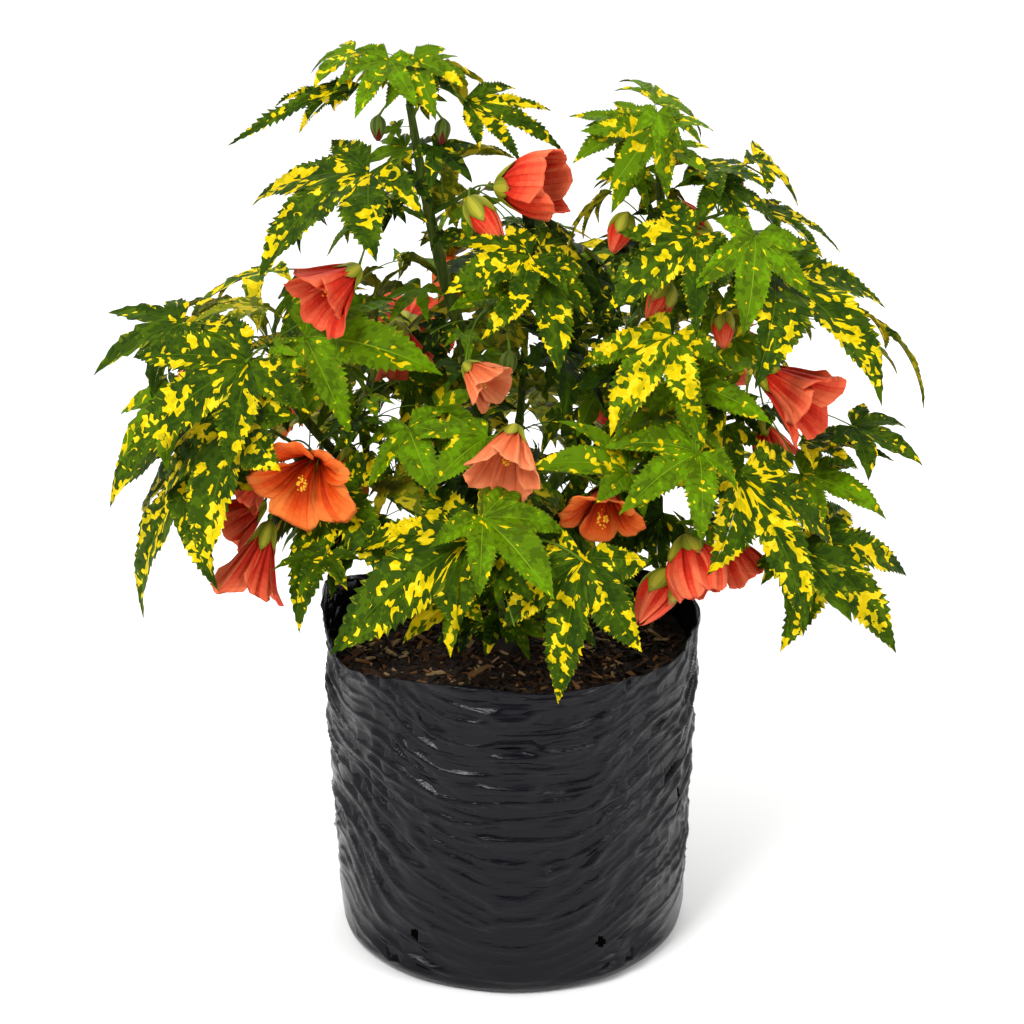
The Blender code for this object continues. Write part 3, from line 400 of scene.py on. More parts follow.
# Each limb: its radius at the foot and at the tip, and the places of its centre line, all in mm
LIMBS = {
    "leader": (5.2, 1.9, ((2, 12, 162.2), (1, 11.5, 172), (-6, 9, 230), (-22, 5, 314),
                          (-37, 2, 373), (-45, 0, 415), (-51, 0, 452))),
    "right_stem": (4.0, 1.8, ((-4, 10, 208), (22, 6, 250), (50, 2, 312), (68, 0, 354),
                              (75, 0, 388), (73, 0, 426))),
    "left_bough": (3.5, 1.7, ((-2, 11, 198), (-42, -2, 232), (-84, -12, 266), (-110, -15, 298),
                              (-118, -15, 318))),
    "right_bough": (3.6, 1.7, ((0, 11, 192), (44, -6, 232), (78, -17, 284), (92, -20, 324),
                               (96, -20, 342))),
    "low_right_bough": (2.8, 1.6, ((1, 11, 180), (45, -24, 206), (86, -48, 234))),
    "front_bough": (2.7, 1.5, ((0, 11, 186), (3, -30, 212), (5, -58, 240))),
    "front_low_bough": (2.5, 1.5, ((1, 11.5, 172), (-4, -38, 190), (-6, -76, 220))),
    "low_left_bough": (2.6, 1.5, ((0, 11, 182), (-40, -20, 208), (-66, -38, 240))),
    "back_left_bough": (3.0, 1.6, ((0, 11, 188), (-30, 50, 226), (-62, 92, 274))),
    "back_right_bough": (3.0, 1.6, ((-1, 11, 200), (38, 55, 240), (72, 98, 286))),
    "back_bough": (2.8, 1.6, ((-5, 9.5, 220), (4, 52, 270), (8, 86, 320))),
    "back_low_bough": (2.6, 1.5, ((1, 11.5, 176), (4, 62, 196), (8, 106, 222))),
}
LIMB_SIDES = 6
ROUND_STEPS = 22
ROUND_SIDES = 18
FLARED = "leader"
FLARE_RADIUS = 8.5 * MM
FLARE_HEIGHT = 16 * MM


def point(place):
    """A place in mm as a vector in metres."""
    return Vector(place) * MM


def smooth_path(places, steps):
    """Catmull-Rom curve: 0.5 (2b + (c - a) t + (2a - 5b + 4c - d) t^2 + (3b - a - 3c + d) t^3)."""
    ends = [places[0] * 2 - places[1], *places, places[-1] * 2 - places[-2]]
    path = []
    for a, b, c, d in zip(ends, ends[1:], ends[2:], ends[3:]):
        for step in range(steps):
            t = step / steps
            path.append(0.5 * (2 * b + (c - a) * t + (2 * a - 5 * b + 4 * c - d) * t ** 2
                               + (3 * b - a - 3 * c + d) * t ** 3))
    path.append(places[-1].copy())
    return path


def limb_path(name, steps=2):
    """Centre line of a limb in metres."""
    return smooth_path([point(p) for p in LIMBS[name][2]], steps)


def limb_radii(name, path):
    """Radius along a limb: an even taper, and the leader's foot spread by (1 - rise)^2."""
    foot, tip, _ = LIMBS[name]
    radii = []
    for i, centre in enumerate(path):
        radius = (foot + (tip - foot) * i / (len(path) - 1)) * MM
        if name == FLARED:
            rise = max(0.0, 1 - (centre.z - path[0].z) / FLARE_HEIGHT)
            radius += (FLARE_RADIUS - radius) * rise ** 2
        radii.append(radius)
    return radii


def tubes(paths, radii, sides, relief=None):
    """Closed tubes from arrays: paths (n, p, 3) and radii (n, p). Each ring stands square to its
    path, on axes kept as near as may be to the first; relief(turn, run) adds to the radius."""
    ahead = np.gradient(paths, axis=1)
    ahead /= np.linalg.norm(ahead, axis=2, keepdims=True) + 1e-12
    mean = ahead.mean(axis=1)
    pick = np.where(np.abs(mean[:, 2:3]) < 0.8, np.array([[0.0, 0, 1]]), np.array([[1.0, 0, 0]]))
    side = np.cross(pick, mean)[:, None, :]
    side = side - ahead * (side * ahead).sum(axis=2, keepdims=True)
    side /= np.linalg.norm(side, axis=2, keepdims=True) + 1e-12
    other = np.cross(ahead, side)
    turn = np.arange(sides) * 2 * np.pi / sides
    run = np.cumsum(np.r_[0, np.linalg.norm(np.diff(paths[0], axis=0), axis=1)])
    spread = radii[:, :, None] * np.ones(sides)
    if relief is not None:
        spread = spread + relief(turn[None, None, :], run[None, :, None])
    out = (np.cos(turn)[None, None, :, None] * side[:, :, None, :]
           + np.sin(turn)[None, None, :, None] * other[:, :, None, :])
    points = paths[:, :, None, :] + spread[..., None] * out
    n, p = paths.shape[:2]
    ring, around = np.arange(p - 1)[:, None], np.arange(sides)[None, :]
    a, b = ring * sides + around, ring * sides + (around + 1) % sides
    walls = np.stack([a, b, b + sides, a + sides], axis=2).reshape(-1, 4)
    fan = np.array([(0, k, k + 1, k + 2) for k in range(1, sides - 1, 2)])
    one = np.vstack([walls, fan[:, ::-1], fan + (p - 1) * sides])
    faces = (np.arange(n)[:, None, None] * p * sides + one[None]).reshape(-1, 4)
    return points.reshape(-1, 3), faces


def joined(shapes):
    """Several (points, faces) as one, the faces counted on."""
    starts = np.cumsum([0] + [len(points) for points, _ in shapes])
    return (np.vstack([points for points, _ in shapes]),
            np.vstack([faces + start for (_, faces), start in zip(shapes, starts)]))


def young_bark(turn, run):
    """Relief of young wood: seven soft ribs that wander, and a leaf scar every 19 mm."""
    ribs = 0.00009 * np.sin(turn * 7 + 3 * np.sin(run * 60)) + 0.00006 * np.sin(turn * 16 + run * 400)
    scars = 0.00045 * np.exp(-((run + 0.004 * np.sin(turn)) % 0.019 - 0.0095) ** 2 / 0.0000012)
    return ribs + scars


bark, tree, shader = new_finish("soft_green_bark", {
    "Base Color": tone("2C3A12"), "Roughness": 0.65, "Specular IOR Level": 0.12})
# Young stem: green below a thin brown skin that cracks lengthwise, 1 to 3 mm wide
place = add_node(tree, "ShaderNodeTexCoord")
lengthwise = add_node(tree, "ShaderNodeMapping", {"Scale": (1.0, 1.0, 0.16)}, {"Vector": (place, "Object")})
skin = add_node(tree, "ShaderNodeTexNoise", {"Scale": 520.0, "Detail": 4.0},
                {"Vector": (lengthwise, "Vector")})
greens = add_node(tree, "ShaderNodeValToRGB", links={"Fac": (skin, "Fac")})
greens.color_ramp.elements[0].position, greens.color_ramp.elements[0].color = 0.40, tone("2C4208")
greens.color_ramp.elements[1].position, greens.color_ramp.elements[1].color = 0.68, tone("55601C")
relief = add_node(tree, "ShaderNodeBump", {"Strength": 0.5, "Distance": 0.0004}, {"Height": (skin, "Fac")})
tree.links.new(greens.outputs["Color"], shader.inputs["Base Color"])
tree.links.new(relief.outputs["Normal"], shader.inputs["Normal"])
limb_shapes = []
for limb_name in LIMBS:
    fine_path = limb_path(limb_name, ROUND_STEPS)
    limb_shapes.append(tubes(np.array(fine_path)[None], np.array(limb_radii(limb_name, fine_path))[None],
                             ROUND_SIDES, young_bark))
stems = new_piece("stems", *joined(limb_shapes), [bark])
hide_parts(*LIMBS)
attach(stems, "root")

# ---- How the crown grows ------------------------------------------------------------------
# Each mass grows on one twig that leaves a limb. Leaves and blooms find room on it by the
# rule of the solids: a low shape of each is tried against all that stands, eased or skipped.

GOLDEN_ANGLE = math.radians(137.5)
LOBES = ((-97.0, 0.50), (-47.0, 0.82), (0.0, 1.0), (47.0, 0.82), (97.0, 0.50))
NOTCHES = ((-141.0, 0.17), (-71.0, 0.32), (-25.0, 0.40), (25.0, 0.40), (71.0, 0.32), (141.0, 0.17))
SHOULDER_REACH = 0.55
SHOULDER_ANGLE = 15.0
BLADE_THICKNESS = 1 / 85
BLADE_ARCH = 0.07
BLADE_CUP = 0.22
STALK_RADIUS = 0.9 * MM
STALK_WIDTH = 1 / 70
STALK_LIFT = 0.09
NECK = 2.5 * MM
OUTWARD_TILT = 0.35
LIGHT_PULL = 0.7
LIGHT_EDGE = 25 * MM
LIGHT_DEPTH = 60 * MM
BLOOM_FLARE = {"bell": 0.46, "open": 0.82, "bud": 0.25}
PETALS = 5
PEDICEL_RADIUS = 0.75 * MM
TWIG_RADII = (1.5 * MM, 1.0 * MM)
TWIG_SIDES = 4
TWIG_LEAD = (GAP, 3 * MM, 6 * MM)
ROOT_CLEARANCE = 4.5 * MM
# Ways to ease a leaf or bloom past a neighbour: mm outwards, mm up, and degrees of roll
EASE = ((0, 0, 0), (0, 4, 8), (0, -4, -8), (4, 0, 10), (-4, 0, -10), (4, 6, -12), (-4, -6, 12), (6, -6, 0),
        (-6, 6, 0), (0, 10, 20), (0, -10, -20), (10, 0, 0), (-10, 0, 0), (8, 12, 15), (8, -12, -15))
HEADING_SPREAD = 0.35
LEAN_SPREAD = 0.5
STALK_RISE = (-0.35, 0.9)
STALK_SHARE = (0.45, 1.15)
BLADE_SHARE = (0.75, 1.2)
TOP_SHRINK = 0.3
TIP_DROOP = (0.1, 1.1)
ROLL_SPREAD = 14
TRIES = 14

# Each mass: its limb, twig and space in mm, how many leaves of what size fill it, the leaves
# that have a set place as (stalk end, tip, roll, look), and its blooms. Looks: m mottled,
# y mostly yellow, g green and yellow, f fresh green, d dark, o seen from its olive underside.
MASSES = {
    "leader_crown": dict(
        limb="leader", twig=((-50, 0, 462), (-49, 2, 470)), space=((-60, -5, 448), 98),
        fill=(4, 30), leaves=(
            ((-74, -5, 463), (-138, -36, 440), -20, "m"), ((-58, -8, 471), (-78, -16, 468), 10, "g"),
            ((-56, -14, 471), (-72, -40, 447), 0, "f"), ((-44, 0, 472), (-22, -8, 468), 0, "g"),
            ((-45, -11, 470), (-33, -34, 448), 0, "g"), ((-52, 10, 469), (-47, 36, 462), 0, "g"),
            ((-24, 0, 454), (27, -10, 432), 20, "m")),
        blooms=(("bud", (-66, -12, 449), (-66, -14, 436)), ("bud", (-34, -5, 446), (-35, -8, 433)))),
    "leader_left": dict(
        limb="leader", twig=((-41, 1, 392), (-56, -8, 402), (-64, -15, 409)),
        space=((-88, -28, 396), 78), fill=(2, 45), leaves=(
            ((-70, -28, 424), (-126, -66, 388), 8, "m"), ((-62, 6, 398), (-92, 40, 380), 0, "g")),
        blooms=(("bell", (-75, -30, 377), (-103, -52, 358)),)),
    "leader_right": dict(
        limb="leader", twig=((-40, 1, 397), (-28, -3, 404), (-20, -6, 410)),
        space=((-8, -5, 404), 66), fill=(2, 40), leaves=(
            ((-37, 18, 417), (0, 44, 420), -20, "o"), ((-41, 15, 415), (-30, 12, 392), 0, "o")),
        blooms=(("bell", (-9, -20, 414), (30, -36, 420)), ("bud", (-22, -25, 411), (-5, -36, 390)))),
    "low_left": dict(
        limb="low_left_bough", twig=((-75, -46, 254), (-78, -48, 266)), space=((-78, -62, 238), 78),
        fill=(6, 42), leaves=(
            ((-80, -34, 270), (-98, -78, 202), 20, "m"),),
        blooms=()),
    "centre_top": dict(
        limb="leader", twig=((-26, 4, 332), (-12, -12, 350), (0, -26, 370)),
        space=((2, -34, 352), 78), fill=(8, 42), leaves=(
            ((9, -45, 386), (-32, -72, 374), 10, "m"), ((13, -40, 379), (21, -76, 336), -24, "m"),
            ((14, -22, 385), (44, -8, 366), 0, "m"), ((-6, -30, 360), (-30, -52, 362), 0, "f")),
        blooms=(("bell", (-24, -50, 333), (-8, -62, 322)), ("bud", (-1, -45, 338), (-3, -49, 324)))),
    "right_crown": dict(
        limb="right_stem", twig=((72, 0, 436), (70, 2, 446)), space=((68, -6, 436), 68),
        fill=(5, 34), leaves=(
            ((63, -10, 442), (30, -36, 432), 0, "g"), ((63, 2, 445), (36, -4, 446), 0, "g"),
            ((78, 5, 442), (103, 16, 437), 0, "g"), ((72, 12, 446), (82, 50, 446), 0, "g"),
            ((66, -18, 438), (44, -46, 414), 0, "g"), ((79, -10, 438), (100, -28, 430), 0, "g")),
        blooms=()),
    "right_upper": dict(
        limb="right_stem", twig=((75, 0, 384), (90, -8, 393), (103, -14, 399)),
        space=((118, -25, 396), 78), fill=(3, 45), leaves=(
            ((95, -15, 427), (128, -34, 424), 0, "d"), ((96, -18, 423), (108, -48, 396), 0, "d"),
            ((124, 8, 397), (170, 8, 380), 0, "m"), ((113, -45, 402), (106, -80, 362), 0, "f")),
        blooms=(("bell", (96, 2, 390), (76, 8, 398)), ("bell", (100, 12, 391), (116, 18, 400)))),
    "right_front": dict(
        limb="right_stem", twig=((66, 0, 352), (70, -16, 366), (76, -28, 380)),
        space=((62, -42, 378), 70), fill=(3, 42), leaves=(
            ((90, -45, 400), (45, -72, 370), 16, "m"), ((50, -4, 405), (24, -18, 380), 70, "m")),
        blooms=(("bud", (58, -15, 401), (50, -20, 381)), ("bud", (79, -40, 371), (67, -46, 352)))),
    "right_outer": dict(
        limb="right_bough", twig=((106, -24, 351), (115, -28, 359)), space=((150, -38, 345), 84),
        fill=(3, 50), leaves=(
            ((166, -10, 355), (219, -20, 310), -30, "m"), ((129, -42, 373), (184, -84, 326), -16, "m"),
            ((144, 10, 334), (118, 16, 300), 30, "d")),
        blooms=(("bud", (104, -40, 358), (105, -46, 339)), ("bud", (125, -40, 362), (126, -42, 348)))),
    "right_mid": dict(
        limb="right_bough", twig=((80, -17, 288), (106, -26, 296), (128, -28, 301)),
        space=((145, -35, 292), 78), fill=(5, 50), leaves=(
            ((148, -20, 283), (195, -32, 278), -10, "m"), ((147, -30, 268), (189, -54, 256), 0, "f")),
        blooms=(("bell", (121, -40, 328), (152, -62, 312)), ("bell", (126, -14, 296), (136, -20, 274)))),
    "right_centre": dict(
        limb="right_bough", twig=((85, -19, 304), (84, -36, 314), (82, -48, 322)),
        space=((72, -60, 308), 70), fill=(8, 40), leaves=(
            ((78, -60, 350), (46, -84, 308), 20, "y"), ((84, -52, 320), (127, -76, 308), 0, "f"),
            ((94, -85, 303), (52, -122, 287), 0, "f")),
        blooms=()),
    "low_right": dict(
        limb="low_right_bough", twig=((98, -56, 246), (112, -62, 264)), space=((128, -72, 238), 92),
        fill=(6, 50), leaves=(
            ((112, -75, 284), (148, -112, 216), -10, "m"), ((150, -50, 240), (196, -76, 190), 0, "m")),
        blooms=(("bell", (85, -75, 252), (94, -90, 224)), ("bell", (108, -52, 242), (122, -58, 222)),
                ("bud", (84, -70, 236), (66, -88, 214)))),
    "front_centre": dict(
        limb="front_bough", twig=((6, -62, 262), (3, -60, 292)), space=((12, -70, 282), 70),
        fill=(12, 40), leaves=(
            ((57, -80, 286), (10, -98, 300), 10, "g"), ((-12, -66, 300), (-40, -92, 284), 0, "f")),
        blooms=(("open", (49, -70, 281), (45, -92, 264)), ("bell", (2, -74, 304), (-6, -98, 284)))),
    "front_low": dict(
        limb="front_low_bough", twig=((-8, -90, 240), (-4, -96, 256)), space=((-5, -108, 232), 100),
        fill=(8, 40), leaves=(
            ((-21, -95, 256), (-89, -132, 216), 12, "m"), ((-14, -100, 274), (20, -132, 246), 0, "f"),
            ((35, -105, 251), (21, -126, 182), 20, "m")),
        blooms=()),
    "left_outer": dict(
        limb="left_bough", twig=((-121, -24, 328), (-123, -34, 336)), space=((-148, -40, 325), 84),
        fill=(4, 48), leaves=(
            ((-130, -50, 334), (-188, -84, 300), -10, "m"), ((-132, -60, 318), (-153, -99, 254), 35, "m"),
            ((-127, 0, 348), (-164, -12, 346), 0, "o")),
        blooms=()),
    "left_low": dict(
        limb="left_bough", twig=((-80, -11, 264), (-104, -22, 277), (-121, -28, 290)),
        space=((-148, -42, 262), 90), fill=(5, 48), leaves=(
            ((-149, -14, 299), (-214, -20, 252), 0, "m"), ((-152, -30, 286), (-204, -46, 213), 40, "m"),
            ((-144, 4, 280), (-186, 28, 244), 0, "d")),
        blooms=(("open", (-101, -54, 291), (-109, -86, 282)), ("bell", (-122, -36, 290), (-141, -44, 272)),
                ("bell", (-126, -28, 256), (-148, -34, 244)),
                ("bell", (-122, -51, 250), (-135, -61, 215)))),
    "left_centre": dict(
        limb="left_bough", twig=((-60, -7, 247), (-67, -24, 282), (-71, -32, 312)),
        space=((-68, -44, 310), 74), fill=(11, 42), leaves=(
            ((-104, -30, 341), (-36, -52, 333), 0, "f"), ((-92, -22, 331), (-106, -52, 312), 0, "g"),
            ((-52, -50, 300), (-38, -88, 278), 0, "f")),
        blooms=(("bell", (-60, 2, 340), (-55, 4, 312)), ("bell", (-84, -22, 284), (-86, -30, 260)))),
    "left_back": dict(
        limb="left_bough", twig=((-104, -14.5, 290), (-118, 14, 302), (-128, 32, 318)),
        space=((-132, 38, 300), 80), fill=(10, 58), leaves=(), blooms=(("bell", (-150, 50, 300),
                                                                        (-172, 62, 278)),)),
    "right_back": dict(
        limb="back_right_bough", twig=((30, 44, 232), (76, 42, 278), (118, 40, 322)),
        space=((138, 42, 308), 82), fill=(12, 58), leaves=(), blooms=(("bell", (150, 58, 320),
                                                                         (176, 70, 304)),)),
    "back_left": dict(
        limb="back_left_bough", twig=((-78, 102, 300), (-88, 106, 328)), space=((-92, 106, 282), 100),
        fill=(15, 62), leaves=(), blooms=(("bell", (-120, 120, 276), (-140, 136, 250)),
                                          ("open", (-60, 140, 300), (-62, 164, 286)))),
    "back_right": dict(
        limb="back_right_bough", twig=((88, 108, 312), (96, 110, 338)), space=((92, 108, 290), 100),
        fill=(15, 62), leaves=(), blooms=(("bell", (120, 130, 300), (136, 148, 276)),
                                          ("bell", (60, 140, 262), (58, 160, 236)))),
    "back_top": dict(
        limb="back_bough", twig=((8, 94, 338), (5, 98, 354)), space=((4, 92, 328), 84),
        fill=(12, 56), leaves=(), blooms=(("bell", (-20, 120, 340), (-34, 142, 322)),
                                          ("bud", (24, 112, 352), (30, 122, 332)))),
    "back_low": dict(
        limb="back_low_bough", twig=((6, 122, 242), (4, 128, 262)), space=((4, 132, 238), 88),
        fill=(10, 56), leaves=(), blooms=(("bell", (-30, 150, 250), (-40, 166, 224)),)),
}


def low_tube(path, radii, sides):
    """A closed round tube along a path: one ring square to the path at each point, and flat ends."""
    vertices = []
    faces = []
    side_way = None
    for i, centre in enumerate(path):
        ahead = path[min(i + 1, len(path) - 1)] - path[max(i - 1, 0)]
        ahead.normalize()
        if side_way is None:
            side_way = ahead.orthogonal()
        side_way = (side_way - ahead * side_way.dot(ahead)).normalized()
        other_way = ahead.cross(side_way)
        for k in range(sides):
            turn = 2 * math.pi * k / sides
            vertices.append(centre + radii[i] * (math.cos(turn) * side_way + math.sin(turn) * other_way))
    for i in range(len(path) - 1):
        for k in range(sides):
            a, b = i * sides + k, i * sides + (k + 1) % sides
            faces.append((a, b, b + sides, a + sides))
    last = (len(path) - 1) * sides
    faces.append(tuple(range(sides - 1, -1, -1)))
    faces.append(tuple(range(last, last + sides)))
    return vertices, faces


def limb_shape(name, extra=0.0):
    """The low solid of a limb, thickened all over, its foot flat where it is flared."""
    path = limb_path(name)
    vertices, faces = low_tube(path, [r + extra for r in limb_radii(name, path)], LIMB_SIDES)
    if name == FLARED:
        for vertex in vertices[:LIMB_SIDES]:
            vertex.z = path[0].z - extra
    return vertices, faces


def blade_frame(base, tip, roll):
    """Axes of a blade: along the midrib, across it, and out of its upper face, which leans away
    from the plant's axis and, on the front of the plant, to the light there."""
    along = (tip - base).normalized()
    outward = Vector((base.x, base.y, 0)).normalized()
    to_light = LIGHT_PULL * min(max((LIGHT_EDGE - base.y) / LIGHT_DEPTH, 0), 1)
    above = Vector((0, -to_light, 1)) + OUTWARD_TILT * outward
    above = (above - along * above.dot(along)).normalized()
    above.rotate(Matrix.Rotation(math.radians(roll), 3, along))
    return Matrix((along, above.cross(along), above)).transposed()


def blade_height(reach, across):
    """Rise of the blade over its chord: arched along the lobes and drooping to both sides."""
    return 4 * BLADE_ARCH * reach * (1 - reach) - BLADE_CUP * across ** 2


def polar(degrees, reach):
    """A point of the flat blade, for a midrib of length 1, raised to its droop."""
    turn = math.radians(degrees)
    x, y = reach * math.cos(turn), reach * math.sin(turn)
    return Vector((x, y, blade_height(reach, y)))


def blade_shape(base, tip, roll, full):
    """A thin blade of five lobes, thickest at the foot of the midrib, and open there in a
    small triangle that its stalk closes: the first three vertices. A full blade has
    shouldered lobes with a raised midrib; a plain one has straight-sided lobes."""
    length = (tip - base).length
    half = BLADE_THICKNESS / 2
    flat = [Vector((0, STALK_WIDTH, 0)), Vector((0, 0, half)), Vector((0, -STALK_WIDTH, 0)),
            Vector((0.03, 0, -half))]
    left_edge, heart, right_edge, underside = range(4)
    rim = [right_edge]
    lobes = []
    for notch, (angle, reach) in zip(NOTCHES, LOBES):
        flat.append(polar(*notch))
        lobe = [len(flat) - 1]
        shouldered = full and reach > 0.6
        turns = (-SHOULDER_ANGLE, 0, SHOULDER_ANGLE) if shouldered else (0,)
        for turn in turns:
            flat.append(polar(angle + turn, reach * (SHOULDER_REACH if turn else 1)))
            lobe.append(len(flat) - 1)
        lobes.append((lobe, angle, reach))
        rim += lobe
    flat.append(polar(*NOTCHES[-1]))
    rim.append(len(flat) - 1)
    rim.append(left_edge)
    faces = [(underside, right_edge, left_edge)]
    for side, centre in ((1, heart), (-1, underside)):
        sheet = [(centre, right_edge, rim[1]), (centre, rim[-2], left_edge)]
        for lobe, angle, reach in lobes:
            after = lobe[-1] + 1
            if len(lobe) == 2:
                sheet += [(centre, lobe[0], lobe[1]), (centre, lobe[1], after)]
            else:
                notch, right, end, left = lobe
                rib = len(flat)
                flat.append(polar(angle, reach * SHOULDER_REACH)
                            + Vector((0, 0, side * BLADE_THICKNESS / 3)))
                sheet += [(centre, notch, right), (centre, right, rib), (rib, right, end),
                          (rib, end, left), (centre, rib, left), (centre, left, after)]
        faces += sheet if side > 0 else [face[::-1] for face in sheet]
    turn = blade_frame(base, tip, roll)
    return [base + turn @ (v * length) for v in flat], faces


def stalk_shape(root, neck, radius, mouth, side):
    """A stalk of as many sides as its mouth has, from a root sunk in the twig to the mouth: the
    ring of points it opens into. Root, a raised middle and the neck each have their own ring."""
    middle = (root + neck) / 2 + Vector((0, 0, STALK_LIFT * (neck - root).length))
    path = [root, middle, neck]
    heading = sum(mouth, Vector()) / len(mouth) - neck
    vertices = []
    for i, centre in enumerate(path):
        ahead = (neck - root).normalized() if i < 2 else (heading.normalized()
                                                          + (neck - middle).normalized())
        ahead.normalize()
        across = (side - ahead * side.dot(ahead)).normalized()
        other = ahead.cross(across)
        for k in range(len(mouth)):
            turn = 2 * math.pi * k / len(mouth)
            vertices.append(centre + radius * (math.cos(turn) * across + math.sin(turn) * other))
    vertices += mouth
    count = len(mouth)
    faces = [tuple(range(count - 1, -1, -1))]
    for i in range(len(path)):
        for k in range(count):
            a, b = i * count + k, i * count + (k + 1) % count
            faces.append((a, b, b + count, a + count))
    return vertices, faces


def leaf_stalk(root, blade, base, tip):
    """The stalk that closes a blade's open foot, bending into line with the midrib."""
    along = (tip - base).normalized()
    mouth = list(blade[0][:3])
    return stalk_shape(root, base - along * NECK, STALK_RADIUS, mouth, mouth[0] - mouth[2])


def bloom_shape(kind, foot, mouth):
    """A bloom open at the foot of its calyx, where its first five vertices take the stalk. The
    calyx swells into five petals round a hollow mouth; a bud is a closed spindle."""
    axis = mouth - foot
    length = axis.length
    axis.normalize()
    side = axis.orthogonal().normalized()
    other = axis.cross(side)

    def ring(reach, radius, count, turn=0.0):
        angles = [2 * math.pi * k / count + turn for k in range(count)]
        return [foot + axis * reach * length
                + radius * length * (math.cos(a) * side + math.sin(a) * other) for a in angles]

    flare = BLOOM_FLARE[kind]
    vertices = ring(0.06, 0.10, PETALS)
    faces = []
    if kind == "bud":
        vertices += ring(0.36, flare, PETALS) + ring(0.70, flare * 0.75, PETALS)
        vertices.append(mouth)
        for k in range(PETALS):
            a, b = k, (k + 1) % PETALS
            for start in (0, PETALS):
                faces.append((a + start, b + start, b + start + PETALS, a + start + PETALS))
            faces.append((a + 2 * PETALS, b + 2 * PETALS, len(vertices) - 1))
        return vertices, faces
    vertices += ring(0.36, 0.22 + 0.16 * flare, PETALS) + ring(0.72, 0.30 + 0.35 * flare, PETALS)
    first_lip = len(vertices)
    for k in range(PETALS):
        turn = 2 * math.pi * k / PETALS
        vertices += ring(1.0, flare, 1, turn) + ring(0.90, flare * 0.88, 1, turn + math.pi / PETALS)
    vertices.append(foot + axis * 0.58 * length)
    heart = len(vertices) - 1
    for k in range(PETALS):
        a, b = k, (k + 1) % PETALS
        for start in (0, PETALS):
            faces.append((a + start, b + start, b + start + PETALS, a + start + PETALS))
        c, d = a + 2 * PETALS, b + 2 * PETALS
        tip_here, dip, tip_next = (first_lip + (2 * k + j) % (2 * PETALS) for j in range(3))
        faces += [(c, dip, tip_here), (c, d, dip), (d, tip_next, dip)]
        faces += [(heart, tip_here, dip), (heart, dip, tip_next)]
    return vertices, faces


def tree_of(shape):
    """Search tree of a shape's faces."""
    return BVHTree.FromPolygons(shape[0], shape[1])


def eased(place, out, rise):
    """A shift of so many mm away from the plant's axis, and up."""
    return (Vector((place.x, place.y, 0)).normalized() * out + Vector((0, 0, rise))) * MM


